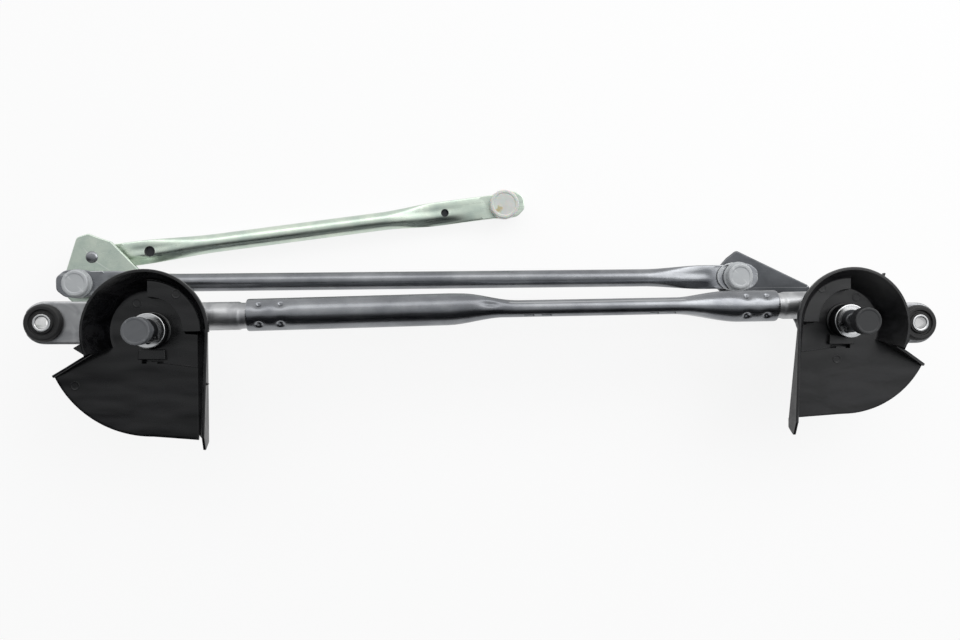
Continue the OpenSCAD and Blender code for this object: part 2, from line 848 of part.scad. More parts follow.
// slice across the straight wall, with its foot leaning in
module wall_slice(x, y, lean) {
  translate([0, y, 0]) rotate([90, 0, 0]) linear_extrude(eps)
    polygon([
      [x - shield_t - lean, floor_z], [x - lean, floor_z], [x, rim_z], [x - shield_t, rim_z]
    ]);
}

// leaning wall from y0 at its upper end to y1 at its tip
module leaning_wall(wall, y0, y1) {
  lengths = 4;
  for (i = [1 : lengths])
    hull()
      for (t = [(i - 1) / lengths, i / lengths])
        wall_slice(wall_x(wall, t), y0 + t * (y1 - y0), wall_lean(wall, t));
}

// upright skirt under the leaning wall's outer edge, deepest at the tip
module wall_skirt(wall, y0, y1) {
  hull()
    for (t = [0, 1]) {
      h = shield_t + t * (skirt_h - shield_t);
      translate([wall_x(wall, t) - shield_t, y0 + t * (y1 - y0) - eps, rim_z - h]) cube([shield_t, eps, h]);
    }
}

// the wall's lower edge is high beside the spigot, and its tip reaches past the fan
module straight_wall(rim_r, rim_at, wall) {
  chord = wall[0] - rim_at[0];
  top_y = rim_at[1] + sqrt(max(0, rim_r * rim_r - chord * chord));
  spigot_z = min(step_z - shield_t + wall[2], rim_z - shield_t);
  foot_y = tip_len - wall[4];
  wall_plate(wall[0], [
    [top_y, rim_z], [step_edge - eps, rim_z], [step_edge - eps, spigot_z], [top_y, rim_z - shield_t / 2]
  ]);
  leaning_wall(wall, step_edge, foot_y);
  wall_skirt(wall, step_edge, foot_y);
  wall_plate(wall[1], [
    [foot_y, rim_z], [-wall[4], rim_z - tip_drop], [tip_len / 2 - wall[4], rim_z - skirt_h],
    [foot_y, rim_z - skirt_h]
  ]);
}

// plan of the raised step over the spigot, with a round clearing at the spindle
module step_2d(rim_r, rim_at, wall_x, inset) {
  difference() {
    intersection() {
      translate(rim_at) circle(r = rim_r - step_margin);
      translate([step_edge + inset, step_edge + inset])
        square([wall_x - step_edge - inset - eps, rim_r]);
    }
    circle(r = step_r + inset);
  }
}

// low wall on the notch's long edge, high at the notch and low at the fan's tip
module notch_wall(rim_r, fan_r, notch_off) {
  from = rim_r - 1;
  to = fan_r - 1;
  rotate(180 + notch_edge_turn) translate([0, shield_t - notch_off, 0]) rotate([90, 0, 0])
    linear_extrude(shield_t)
      polygon([[from, floor_z], [to, floor_z], [to, floor_z + notch_tip_h], [from, rim_z - notch_drop]]);
}

// snap tab below the spindle, over its slot
module clip_tab(shift, foot) {
  translate([shift - tab_w / 2, -foot, floor_z + eps]) cube([tab_w, tab_len, tab_h]);
}

module clip_slot(shift, foot) {
  translate([shift - tab_w / 2 + 2, -foot - slot_w, floor_z - 1]) cube([tab_w - 4, slot_w, shield_t + 2]);
}

module rain_shield(rim_r, rim_at, fan_r, wall, notch_off, notch_turn, tab_shift, tab_foot) {
  step_h = step_z - floor_z;
  step_x = wall[0] - step_margin;
  difference() {
    union() {
      translate([0, 0, floor_z]) linear_extrude(shield_t)
        shield_floor_2d(rim_r, rim_at, fan_r, wall, notch_off);
      intersection() {
        translate([rim_at[0], rim_at[1], 0]) round_wall(rim_r, notch_turn);
        translate([wall[0] - 3 * rim_r, -1.5 * rim_r, 0]) cube([3 * rim_r, 3 * rim_r, rim_z]);
      }
      straight_wall(rim_r, rim_at, wall);
      translate([0, 0, floor_z]) linear_extrude(step_h) step_2d(rim_r, rim_at, step_x, 0);
      notch_wall(rim_r, fan_r, notch_off);
      clip_tab(tab_shift, tab_foot);
      post(floor_z, bearing_top - 0.5, bearing_d + 2 * collar_t);
    }
    post(floor_z - 1, bearing_top + 1, bearing_d);
    clip_slot(tab_shift, tab_foot);
    translate([0, 0, floor_z - 1]) linear_extrude(step_h - shield_t + 1)
      step_2d(rim_r - shield_t, rim_at, step_x - shield_t, shield_t);
  }
}

module left_rain_shield() {
  wall = [left_wall_x, left_tip_x, left_lean, left_tip_lean, left_tip_y];
  color(BLACK) at_left()
    rain_shield(left_rim_r, [0, -left_rim_drop], left_fan_r, wall, left_notch_off, left_notch_turn,
                0, left_tab_foot);
}

module right_rain_shield() {
  wall = [right_wall_x, right_tip_x, right_lean, right_tip_lean, right_tip_y];
  color(BLACK) at_right() mirror([1, 0, 0])
    rain_shield(right_rim_r, [right_rim_shift, -right_rim_drop], right_fan_r, wall, right_notch_off,
                right_notch_turn, right_tab_shift, right_tab_foot);
}

frame_tube();
left_pivot_housing();
right_pivot_housing();
left_grommet();
right_grommet();
left_sleeve();
right_sleeve();
left_upper_bush();
right_upper_bush();
left_lower_bush();
right_lower_bush();
left_seal_ring();
right_seal_ring();
left_spindle();
right_spindle();
left_thrust_washer();
right_thrust_washer();
left_retaining_clip();
right_retaining_clip();
left_spacer_washer();
right_spacer_washer();
left_transport_cap();
right_transport_cap();
left_rain_shield();
right_rain_shield();
left_crank_plate();
right_crank_plate();
left_link_stud();
right_link_stud();
motor_stud();
link_rod();
left_link_socket();
right_link_socket();
motor_rod();
crank_motor_socket();
free_motor_socket();
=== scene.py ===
"""Looks of a windscreen wiper linkage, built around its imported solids.

Sizes in the tables are millimetres in the part's own frame: Z along the spindles, X from the left
mounting hole to the right one. Every mesh is turned to metres when its piece is put in place.
"""

import math

import bmesh
import bpy
import numpy as np
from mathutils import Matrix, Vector
from mathutils.geometry import tessellate_polygon


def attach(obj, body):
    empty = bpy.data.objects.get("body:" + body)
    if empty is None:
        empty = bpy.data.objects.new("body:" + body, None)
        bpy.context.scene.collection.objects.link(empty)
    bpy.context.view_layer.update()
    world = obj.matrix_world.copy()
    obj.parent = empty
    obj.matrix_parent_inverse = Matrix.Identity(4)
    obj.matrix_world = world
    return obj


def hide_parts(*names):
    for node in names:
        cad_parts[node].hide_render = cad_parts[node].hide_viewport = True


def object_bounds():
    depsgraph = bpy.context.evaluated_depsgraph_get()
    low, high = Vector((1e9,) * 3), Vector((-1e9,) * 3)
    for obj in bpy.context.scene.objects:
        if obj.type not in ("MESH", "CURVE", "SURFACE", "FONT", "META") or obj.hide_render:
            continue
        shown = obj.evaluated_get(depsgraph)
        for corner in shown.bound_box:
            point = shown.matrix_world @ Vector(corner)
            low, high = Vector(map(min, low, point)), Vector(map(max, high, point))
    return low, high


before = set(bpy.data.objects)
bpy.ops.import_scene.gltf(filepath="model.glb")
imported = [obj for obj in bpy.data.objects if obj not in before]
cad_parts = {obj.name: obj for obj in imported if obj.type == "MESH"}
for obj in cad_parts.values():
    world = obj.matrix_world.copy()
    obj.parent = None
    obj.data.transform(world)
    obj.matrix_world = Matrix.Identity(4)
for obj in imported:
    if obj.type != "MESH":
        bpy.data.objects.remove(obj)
cad_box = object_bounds()

MM = 0.001

# Places of the axes in plan, as the solids have them
LEFT_SPINDLE = np.array([-253.0, -5.5])
RIGHT_SPINDLE = np.array([270.0, 1.5])
CRANK_ARM = np.array([-69.0, 36.0])
LEFT_BALL = LEFT_SPINDLE + CRANK_ARM
RIGHT_BALL = RIGHT_SPINDLE + CRANK_ARM
MOTOR_BALL = LEFT_SPINDLE + (-63.5, 57.5)
FREE_BALL = MOTOR_BALL + (328.5, 45.5)
LEFT_LUG = np.array([-334.5, 0.0])
RIGHT_LUG = np.array([334.5, 0.0])
TUBE_START = np.array([-186.5, 5.5])
TUBE_END = np.array([221.0, 13.5])
LINK_Z = -28.0
MOTOR_Z = -52.0
CRANK_TOP = -38.0
CRANK_BOTTOM = -42.0

# Sizes that neighbouring pieces share, and the gap left between their faces
PLAY = 0.05
HOUSING_LOW, HOUSING_TOP, BEARING_RADIUS = -36.0, 24.5, 11.0
LUG_HALF, LUG_GROOVE, SLEEVE_RADIUS = 4.0, 10.4, 6.5
SPINDLE_RADIUS, SPINDLE_END, THREAD_RADIUS = 6.0, 49.0, 4.0
CLIP_LOW, CLIP_TOP, CLIP_GROOVE = 26.05, 27.25, 5.4
PIN_RADIUS, SHANK_RADIUS = 5.0, 4.0
BALL_RADIUS, BALL_RISE, EYE_HOLE, EYE_HALF = 8.0, 10.0, 9.8, 2.5


# Shapes

def round_point(x, y, radius, angle):
    """Point at an angle in degrees on a circle about (x, y)."""
    turn = math.radians(angle)
    return x + radius * math.cos(turn), y + radius * math.sin(turn)


def run_between(start, end):
    """Length of the straight line between two places in plan, and its direction in degrees."""
    run = end - start
    return float(np.linalg.norm(run)), math.degrees(math.atan2(run[1], run[0]))


def arc(x, y, radius, start, end, count):
    """Points on a circle from one angle to another, in degrees."""
    return [round_point(x, y, radius, angle) for angle in np.linspace(start, end, count)]


def rounded(corners, steps=6):
    """Closed outline from (x, y, radius) corners, each rounded by an arc.

    A point on each side of an arc keeps the straight stretches flat in shading."""
    out = []
    for i, (x, y, radius) in enumerate(corners):
        here = np.array([x, y], float)
        before = np.array(corners[i - 1][:2], float) - here
        after = np.array(corners[(i + 1) % len(corners)][:2], float) - here
        reach = 0.49 * min(np.linalg.norm(before), np.linalg.norm(after))
        before /= np.linalg.norm(before)
        after /= np.linalg.norm(after)
        half = math.acos(max(-1.0, min(1.0, float(before @ after)))) / 2
        if radius <= 0 or half > math.pi / 2 - 0.01:
            out.append(tuple(here))
            continue
        cut = min(radius / math.tan(half), reach * 0.94)
        size = cut * math.tan(half)
        hold = min(cut + 0.12, reach)
        middle = (before + after) / np.linalg.norm(before + after)
        centre = here + middle * size / math.sin(half)
        a, b = here + before * cut - centre, here + after * cut - centre
        start = math.atan2(a[1], a[0])
        sweep = (math.atan2(b[1], b[0]) - start + math.pi) % (2 * math.pi) - math.pi
        out.append(tuple(here + before * hold))
        for k in range(steps + 1):
            t = start + sweep * k / steps
            out.append((centre[0] + size * math.cos(t), centre[1] + size * math.sin(t)))
        out.append(tuple(here + after * hold))
    return out


def skinned(rings, loop=False):
    """Skin over rings of equally many points, with its ends closed unless the rings form a loop."""
    rings = np.asarray(rings, float)
    n, m = rings.shape[:2]
    faces = []
    for i in range(n if loop else n - 1):
        j = (i + 1) % n
        for k in range(m):
            q = (k + 1) % m
            faces.append((i * m + k, i * m + q, j * m + q, j * m + k))
    if not loop:
        faces.append(tuple(range(m)))
        faces.append(tuple((n - 1) * m + k for k in reversed(range(m))))
    return rings.reshape(-1, 3), faces


def turned(profile, count=96, teeth=None):
    """Closed (radius, height) profile turned about Z; teeth is (number, depth, from height, to height)."""
    p = np.asarray(profile, float)
    rings = []
    for t in np.linspace(0, 2 * math.pi, count, endpoint=False):
        r = p[:, 0].copy()
        if teeth:
            number, depth, low, high = teeth
            cut = (p[:, 1] > low) & (p[:, 1] < high)
            r[cut] -= depth * (0.5 - 0.5 * math.cos(number * t))
        rings.append(np.stack([r * math.cos(t), r * math.sin(t), p[:, 1]], 1))
    return skinned(rings, loop=True)


def inset(outline, depth):
    """Outline moved sideways: inward by depth for one that runs anticlockwise, outward for a hole."""
    p = np.asarray(outline, float)
    before = p - np.roll(p, 1, 0)
    after = np.roll(p, -1, 0) - p
    before /= np.maximum(np.linalg.norm(before, axis=1), 1e-9)[:, None]
    after /= np.maximum(np.linalg.norm(after, axis=1), 1e-9)[:, None]
    side_a = np.stack([-before[:, 1], before[:, 0]], 1)
    side_b = np.stack([-after[:, 1], after[:, 0]], 1)
    mean = side_a + side_b
    mean /= np.maximum(np.linalg.norm(mean, axis=1), 1e-9)[:, None]
    share = np.maximum(0.35, np.sum(mean * side_a, axis=1))
    return p + mean * (depth / share)[:, None]


def area(outline):
    """Area of an outline, negative where it runs clockwise."""
    p = np.asarray(outline, float)
    x, y = p[:, 0], p[:, 1]
    return 0.5 * float(np.sum(x * np.roll(y, -1) - y * np.roll(x, -1)))


def slab(outline, low, high, edge=0.5, holes=(), steps=3, band=0.0):
    """Plate between two heights with rounded edges, and holes through it.

    band is the width of an extra flat strip beside the edges, for plates that bend a reflection."""
    loops = [list(outline)[::1 if area(outline) > 0 else -1]]
    loops += [list(h)[::-1 if area(h) > 0 else 1] for h in holes]
    turns = np.linspace(0, math.pi / 2, steps + 1)
    # a ring just inside each rounded edge keeps the faces flat in shading
    flat = edge * 1.25 + 0.1
    stack = [(flat, low)]
    stack += [(edge * (1 - math.sin(t)), low + edge * (1 - math.cos(t))) for t in turns]
    stack += [(edge * (1 - math.cos(t)), high - edge * (1 - math.sin(t))) for t in turns]
    stack += [(flat, high)]
    if band:
        stack = [(flat + band, low)] + stack + [(flat + band, high)]
    verts, faces, first, last = [], [], [], []
    for loop in loops:
        base, m = len(verts), len(loop)
        for depth, z in stack:
            verts += [(x, y, z) for x, y in inset(loop, depth)]
        for i in range(len(stack) - 1):
            for k in range(m):
                q = (k + 1) % m
                a = base + i * m
                faces.append((a + k, a + q, a + m + q, a + m + k))
        first.append([base + k for k in range(m)])
        last.append([base + (len(stack) - 1) * m + k for k in range(m)])
    for ends in (first, last):
        order = [i for end in ends for i in end]
        shape = [[Vector((verts[i][0], verts[i][1], 0)) for i in end] for end in ends]
        faces += [tuple(order[i] for i in tri) for tri in tessellate_polygon(shape)]
    return np.array(verts), faces


def circle(x, y, radius, count=48):
    """Closed outline of a round hole or pin."""
    return arc(x, y, radius, 0, 360 - 360 / count, count)


def moved(shape, by=(0, 0, 0), turn=0, mirror=False):
    """Shape moved in its piece, turned about Z in degrees, or mirrored in X."""
    verts, faces = shape
    verts = np.array(verts, float)
    if mirror:
        verts[:, 0] *= -1
        faces = [tuple(reversed(f)) for f in faces]
    c, s = math.cos(math.radians(turn)), math.sin(math.radians(turn))
    verts[:, :2] = verts[:, :2] @ np.array([[c, s], [-s, c]])
    return verts + np.array(by, float), faces


def laid_along_x(shape):
    """Shape that was turned about Z, laid so that its axis runs along X."""
    verts, faces = shape
    verts = np.array(verts, float)
    return verts[:, [2, 0, 1]], faces


def cut_out(shape, tool):
    """Shape less another one."""
    both = []
    for verts, faces in (shape, tool):
        mesh = bpy.data.meshes.new("cut")
        mesh.from_pydata([tuple(v) for v in np.asarray(verts, float)], [], faces)
        bm = bmesh.new()
        bm.from_mesh(mesh)
        bmesh.ops.recalc_face_normals(bm, faces=bm.faces)
        bm.to_mesh(mesh)
        bm.free()
        both.append(bpy.data.objects.new("cut", mesh))
        bpy.context.scene.collection.objects.link(both[-1])
    less = both[0].modifiers.new("less", "BOOLEAN")
    less.operation = "DIFFERENCE"
    less.object = both[1]
    done = both[0].evaluated_get(bpy.context.evaluated_depsgraph_get()).to_mesh()
    result = np.array([v.co for v in done.vertices]), [tuple(face.vertices) for face in done.polygons]
    for each in both:
        bpy.data.objects.remove(each)
    return result


def put(name, shapes, body, finish, at=(0, 0), height=0.0, turn=0.0, nodes=(), sharp=34, cast=None):
    """Joins shapes into one piece, sets it in place on its body and gives it its finish.

    cast is (voxel, rounds): the shapes melt into one skin with softened corners, as a casting has."""
    verts, faces = [], []
    for v, f in shapes:
        base = len(verts)
        verts += [tuple(p) for p in np.asarray(v) * MM]
        faces += [tuple(i + base for i in face) for face in f]
    mesh = bpy.data.meshes.new(name)
    mesh.from_pydata(verts, [], faces)
    bm = bmesh.new()
    bm.from_mesh(mesh)
    bmesh.ops.remove_doubles(bm, verts=bm.verts, dist=1e-6)
    bmesh.ops.dissolve_degenerate(bm, edges=bm.edges, dist=1e-7)
    bmesh.ops.recalc_face_normals(bm, faces=bm.faces)
    bm.to_mesh(mesh)
    bm.free()
    piece = bpy.data.objects.new(name, mesh)
    bpy.context.scene.collection.objects.link(piece)
    if cast:
        voxel, rounds = cast
        melt = piece.modifiers.new("melt", "REMESH")
        melt.mode = "VOXEL"
        melt.voxel_size = voxel * MM
        ease = piece.modifiers.new("ease", "SMOOTH")
        ease.factor = 0.5
        ease.iterations = rounds
        eased_piece = piece.evaluated_get(bpy.context.evaluated_depsgraph_get())
        mesh = bpy.data.meshes.new_from_object(eased_piece)
        piece.modifiers.clear()
        piece.data = mesh
    mesh.shade_smooth()
    mesh.set_sharp_from_angle(angle=math.radians(sharp))
    mesh.materials.clear()
    mesh.materials.append(finish)
    piece.location = (at[0] * MM, at[1] * MM, height * MM)
    piece.rotation_euler = (0, 0, math.radians(turn))
    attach(piece, body)
    if nodes:
        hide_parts(*nodes)


# Finishes

def linear(colour):
    """sRGB hex colour to linear red, green, blue and alpha."""
    parts = [int(colour[i:i + 2], 16) / 255 for i in (1, 3, 5)]
    return tuple(c / 12.92 if c <= 0.04045 else ((c + 0.055) / 1.055) ** 2.4 for c in parts) + (1.0,)


def marks(size):
    """Scale of a pattern whose marks are size millimetres across."""
    return 1000.0 / size


def add(tree, kind, settings=None, values=None, links=None):
    """Adds one node with its settings, the values of its inputs and the (node, output) links into them."""
    made = tree.nodes.new(kind)
    for key, value in (settings or {}).items():
        setattr(made, key, value)
    for key, value in (values or {}).items():
        made.inputs[key].default_value = value
    for key, (source, output) in (links or {}).items():
        tree.links.new(source.outputs[output], made.inputs[key])
    return made


# a mix of colours: its setting, and its sockets for the share, the two colours and the result
COLOUR_MIX = {"data_type": "RGBA"}
SHARE, FIRST, SECOND, MIXED = 0, 6, 7, 2


def blank(name):
    """Material with an empty node tree, and that tree."""
    made = bpy.data.materials.new(name)
    made.use_nodes = True
    made.node_tree.nodes.clear()
    return made, made.node_tree


def plated_steel(name, pale, dark, worn, cloud, smooth, rough, lay):
    """Drawn steel under zinc: draw lines, cloudy plating, bright rubbed edges and painted shade in hollows.

    cloud is the size of the clouds in mm, lay the direction of the draw lines in degrees."""
    made, t = blank(name)
    place = add(t, "ShaderNodeTexCoord")
    here = {"Vector": (place, "Object")}
    along = add(t, "ShaderNodeMapping", {"vector_type": "TEXTURE"},
                {"Rotation": (0, 0, math.radians(lay)), "Scale": (33, 1, 1)}, here)
    # draw lines are 0.1 mm apart on the real rod and 0.9 mm here, so that they show
    lines = add(t, "ShaderNodeTexNoise", values={"Scale": marks(0.9), "Detail": 3.0},
                links={"Vector": (along, 0)})
    clouds = add(t, "ShaderNodeTexNoise", values={"Scale": marks(cloud), "Detail": 4.0, "Roughness": 0.6},
                 links=here)
    spread = add(t, "ShaderNodeMapRange", values={"From Min": 0.35, "From Max": 0.68},
                 links={"Value": (clouds, "Fac")})
    tone = add(t, "ShaderNodeMix", COLOUR_MIX, {FIRST: linear(dark), SECOND: linear(pale)},
               {SHARE: (spread, 0)})
    corner = add(t, "ShaderNodeNewGeometry")
    rub = add(t, "ShaderNodeMapRange", values={"From Min": 0.52, "From Max": 0.6},
              links={"Value": (corner, "Pointiness")})
    skin = add(t, "ShaderNodeMix", COLOUR_MIX, {SECOND: linear(worn)},
               {SHARE: (rub, 0), FIRST: (tone, MIXED)})
    # painted shade: hollows such as the bottoms of the dents are darkened toward near black
    hollow_shade_mask = add(t, "ShaderNodeMapRange", values={"From Min": 0.475, "From Max": 0.42, "To Max": 0.85},
                 links={"Value": (corner, "Pointiness")})
    hollow_shaded = add(t, "ShaderNodeMix", COLOUR_MIX, {SECOND: linear("#1E1F21")},
                {SHARE: (hollow_shade_mask, 0), FIRST: (skin, MIXED)})
    gloss = add(t, "ShaderNodeMapRange",
                values={"From Min": 0.3, "From Max": 0.7, "To Min": smooth, "To Max": rough},
                links={"Value": (lines, "Fac")})
    bump = add(t, "ShaderNodeBump", values={"Strength": 0.1, "Distance": 0.06 * MM},
               links={"Height": (lines, "Fac")})
    shader = add(t, "ShaderNodeBsdfPrincipled", values={"Metallic": 1.0},
                 links={"Base Color": (hollow_shaded, MIXED), "Roughness": (gloss, 0), "Normal": (bump, 0)})
    add(t, "ShaderNodeOutputMaterial", links={"Surface": (shader, 0)})
    return made


def die_cast_aluminium():
    """Die-cast aluminium, shot-blasted: an even pale grey satin with a fine grit and duller flow marks."""
    made, t = blank("die_cast_aluminium")
    place = add(t, "ShaderNodeTexCoord")
    here = {"Vector": (place, "Object")}
    # blasting grit leaves pits near 0.2 mm, drawn at 0.7 mm so that they show
    grit = add(t, "ShaderNodeTexNoise", values={"Scale": marks(0.7), "Detail": 3.0}, links=here)
    flow = add(t, "ShaderNodeTexNoise", values={"Scale": marks(14), "Detail": 3.0, "Distortion": 1.2},
               links=here)
    spread = add(t, "ShaderNodeMapRange", values={"From Min": 0.35, "From Max": 0.65},
                 links={"Value": (flow, "Fac")})
    tone = add(t, "ShaderNodeMix", COLOUR_MIX, {FIRST: linear("#9A9B9D"), SECOND: linear("#B6B7B8")},
               {SHARE: (spread, 0)})
    gloss = add(t, "ShaderNodeMapRange", values={"To Min": 0.36, "To Max": 0.5},
                links={"Value": (grit, "Fac")})
    bump = add(t, "ShaderNodeBump", values={"Strength": 0.16, "Distance": 0.12 * MM},
               links={"Height": (grit, "Fac")})
    shader = add(t, "ShaderNodeBsdfPrincipled", values={"Metallic": 1.0},
                 links={"Base Color": (tone, MIXED), "Roughness": (gloss, 0), "Normal": (bump, 0)})
    add(t, "ShaderNodeOutputMaterial", links={"Surface": (shader, 0)})
    return made


def turned_steel(name, pale, dark, smooth, rough):
    """Turned steel: rings left by the tool round the axis, and a bright reflection."""
    made, t = blank(name)
    place = add(t, "ShaderNodeTexCoord")
    here = {"Vector": (place, "Object")}
    # feed marks are 0.1 mm apart on the real piece and 3.77 mm here, so that they show
    # a wave of scale 1 has a ring every pi / 10
    rings = add(t, "ShaderNodeTexWave", {"wave_type": "RINGS", "rings_direction": "Z"},
                {"Scale": marks(3.77) * math.pi / 10, "Distortion": 1.0, "Detail": 2.0, "Detail Scale": 2.0},
                here)
    stain = add(t, "ShaderNodeTexNoise", values={"Scale": marks(6), "Detail": 3.0}, links=here)
    tone = add(t, "ShaderNodeMix", COLOUR_MIX, {FIRST: linear(dark), SECOND: linear(pale)},
               {SHARE: (stain, "Fac")})
    gloss = add(t, "ShaderNodeMapRange", values={"To Min": smooth, "To Max": rough},
                links={"Value": (rings, "Fac")})
    bump = add(t, "ShaderNodeBump", values={"Strength": 0.08, "Distance": 0.05 * MM},
               links={"Height": (rings, "Fac")})
    shader = add(t, "ShaderNodeBsdfPrincipled", values={"Metallic": 1.0},
                 links={"Base Color": (tone, MIXED), "Roughness": (gloss, 0), "Normal": (bump, 0)})
    add(t, "ShaderNodeOutputMaterial", links={"Surface": (shader, 0)})
    return made


def sintered_bronze():
    """Sintered bronze soaked in oil: a dull brown metal full of small pores."""
    made, t = blank("sintered_bronze")
    place = add(t, "ShaderNodeTexCoord")
    here = {"Vector": (place, "Object")}
    # pores are near 0.05 mm on the real bush and 0.4 mm here, so that they show
    pores = add(t, "ShaderNodeTexNoise", values={"Scale": marks(0.4), "Detail": 2.0}, links=here)
    tone = add(t, "ShaderNodeMix", COLOUR_MIX, {FIRST: linear("#6E5636"), SECOND: linear("#A98A5C")},
               {SHARE: (pores, "Fac")})
    bump = add(t, "ShaderNodeBump", values={"Strength": 0.2, "Distance": 0.1 * MM},
               links={"Height": (pores, "Fac")})
    shader = add(t, "ShaderNodeBsdfPrincipled", values={"Metallic": 1.0, "Roughness": 0.45},
                 links={"Base Color": (tone, MIXED), "Normal": (bump, 0)})
    add(t, "ShaderNodeOutputMaterial", links={"Surface": (shader, 0)})
    return made


def moulded_plastic(name, pale, dark, edge, smooth, rough, grain, dust, sink, ior=1.49):
    """Moulded plastic: fine tool grain, faint smears from handling and paler edges.

    grain is the size of the tool grain in mm, dust how much the smears show, and sink the depth in mm of
    the shallow sink marks, which bend its reflections."""
    made, t = blank(name)
    place = add(t, "ShaderNodeTexCoord")
    here = {"Vector": (place, "Object")}
    # tool grain is near 0.1 mm on the real piece and much coarser here, so that it shows
    grit = add(t, "ShaderNodeTexNoise", values={"Scale": marks(grain), "Detail": 2.0}, links=here)
    flow = add(t, "ShaderNodeMapping", values={"Scale": (0.35, 1, 1)}, links=here)
    smear = add(t, "ShaderNodeTexNoise",
                values={"Scale": marks(16), "Detail": 6.0, "Roughness": 0.7, "Distortion": 0.8},
                links={"Vector": (flow, 0)})
    spread = add(t, "ShaderNodeMapRange", values={"From Min": 0.42, "From Max": 0.72},
                 links={"Value": (smear, "Fac")})
    haze = add(t, "ShaderNodeMath", {"operation": "MULTIPLY"}, {1: dust}, {0: (spread, 0)})
    tone = add(t, "ShaderNodeMix", COLOUR_MIX, {FIRST: linear(dark), SECOND: linear(pale)},
               {SHARE: (haze, 0)})
    corner = add(t, "ShaderNodeNewGeometry")
    rub = add(t, "ShaderNodeMapRange", values={"From Min": 0.53, "From Max": 0.66, "To Max": 0.7},
              links={"Value": (corner, "Pointiness")})
    skin = add(t, "ShaderNodeMix", COLOUR_MIX, {SECOND: linear(edge)},
               {SHARE: (rub, 0), FIRST: (tone, MIXED)})
    gloss = add(t, "ShaderNodeMapRange", values={"To Min": smooth, "To Max": rough},
                links={"Value": (spread, 0)})
    hollows = add(t, "ShaderNodeTexNoise", values={"Scale": marks(22), "Detail": 1.5},
                  links={"Vector": (flow, 0)})
    waves = add(t, "ShaderNodeBump", values={"Distance": sink * MM}, links={"Height": (hollows, "Fac")})
    bump = add(t, "ShaderNodeBump", values={"Strength": 0.12, "Distance": 0.08 * MM},
               links={"Height": (grit, "Fac"), "Normal": (waves, 0)})
    shader = add(t, "ShaderNodeBsdfPrincipled", values={"IOR": ior},
                 links={"Base Color": (skin, MIXED), "Roughness": (gloss, 0), "Normal": (bump, 0)})
    add(t, "ShaderNodeOutputMaterial", links={"Surface": (shader, 0)})
    return made


def natural_acetal():
    """Undyed acetal: a milky, waxy white that light enters, with a smear of amber grease showing through."""
    made, t = blank("natural_acetal")
    place = add(t, "ShaderNodeTexCoord")
    here = {"Vector": (place, "Object")}
    milk = add(t, "ShaderNodeTexNoise", values={"Scale": marks(7), "Detail": 3.0}, links=here)
    tone = add(t, "ShaderNodeMix", COLOUR_MIX, {FIRST: linear("#C3C6C1"), SECOND: linear("#DEDFDA")},
               {SHARE: (milk, "Fac")})
    # the grease shows in the top of the cup, 6 mm to the lower left of its middle, with a ragged edge
    away = add(t, "ShaderNodeVectorMath", {"operation": "DISTANCE"}, {1: (-4.5 * MM, -4.2 * MM, 9 * MM)},
               {0: (place, "Object")})
    rag = add(t, "ShaderNodeTexNoise", values={"Scale": marks(2.2), "Detail": 3.0}, links=here)
    shape = add(t, "ShaderNodeMath", {"operation": "MULTIPLY"}, {1: 6 * MM}, {0: (rag, "Fac")})
    reach = add(t, "ShaderNodeMath", {"operation": "ADD"}, links={0: (away, "Value"), 1: (shape, 0)})
    spot = add(t, "ShaderNodeMapRange",
               values={"From Min": 6.2 * MM, "From Max": 4.2 * MM, "To Max": 0.75},
               links={"Value": (reach, 0)})
    skin = add(t, "ShaderNodeMix", COLOUR_MIX, {SECOND: linear("#B9A86A")},
               {SHARE: (spot, 0), FIRST: (tone, MIXED)})
    bump = add(t, "ShaderNodeBump", values={"Strength": 0.1, "Distance": 0.1 * MM},
               links={"Height": (milk, "Fac")})
    shader = add(t, "ShaderNodeBsdfPrincipled",
                 values={"Roughness": 0.32, "IOR": 1.48,
                         "Subsurface Weight": 0.35, "Subsurface Scale": 3 * MM},
                 links={"Base Color": (skin, MIXED), "Normal": (bump, 0)})
    add(t, "ShaderNodeOutputMaterial", links={"Surface": (shader, 0)})
    return made


def moulded_rubber():
    """Moulded rubber: near black and matt, with a faint grey bloom in patches."""
    made, t = blank("moulded_rubber")
    place = add(t, "ShaderNodeTexCoord")
    here = {"Vector": (place, "Object")}
    bloom = add(t, "ShaderNodeTexNoise", values={"Scale": marks(5), "Detail": 4.0}, links=here)
    tone = add(t, "ShaderNodeMix", COLOUR_MIX, {FIRST: linear("#0B0B0B"), SECOND: linear("#1A1A1B")},
               {SHARE: (bloom, "Fac")})
    bump = add(t, "ShaderNodeBump", values={"Strength": 0.15, "Distance": 0.1 * MM},
               links={"Height": (bloom, "Fac")})
    shader = add(t, "ShaderNodeBsdfPrincipled", values={"Roughness": 0.62, "IOR": 1.52},
                 links={"Base Color": (tone, MIXED), "Normal": (bump, 0)})
    add(t, "ShaderNodeOutputMaterial", links={"Surface": (shader, 0)})
    return made


ZINC = plated_steel("zinc_plated_drawn_steel", "#8E9093", "#76787C", "#A9ABAD",
                    cloud=26, smooth=0.24, rough=0.34, lay=0)
GREEN_ZINC = plated_steel("green_passivated_zinc_steel", "#D4DED0", "#BBC9BE", "#DEE4DC",
                          cloud=15, smooth=0.24, rough=0.38, lay=7.9)
# the zinc again, rougher and darkened by painted shade, for the right crank
SHADED_ZINC = plated_steel("shade_darkened_zinc_plated_steel", "#5A5C5F", "#4A4C4F", "#A9ABAD",
                         cloud=22, smooth=0.32, rough=0.46, lay=0)
CASTING = die_cast_aluminium()
BRIGHT = turned_steel("bright_turned_steel", "#DCDCDB", "#BEBFC1", smooth=0.14, rough=0.26)
SHAFT = turned_steel("hardened_spindle_steel", "#8C8D8F", "#5E6063", smooth=0.22, rough=0.38)
PHOSPHATE = turned_steel("phosphated_spring_steel", "#4A4B4D", "#2E2F31", smooth=0.35, rough=0.5)
BRONZE = sintered_bronze()
SHIELD = moulded_plastic("moulded_black_polypropylene", "#202023", "#060607", "#303032",
                         smooth=0.32, rough=0.54, grain=0.8, dust=0.8, sink=0.9)
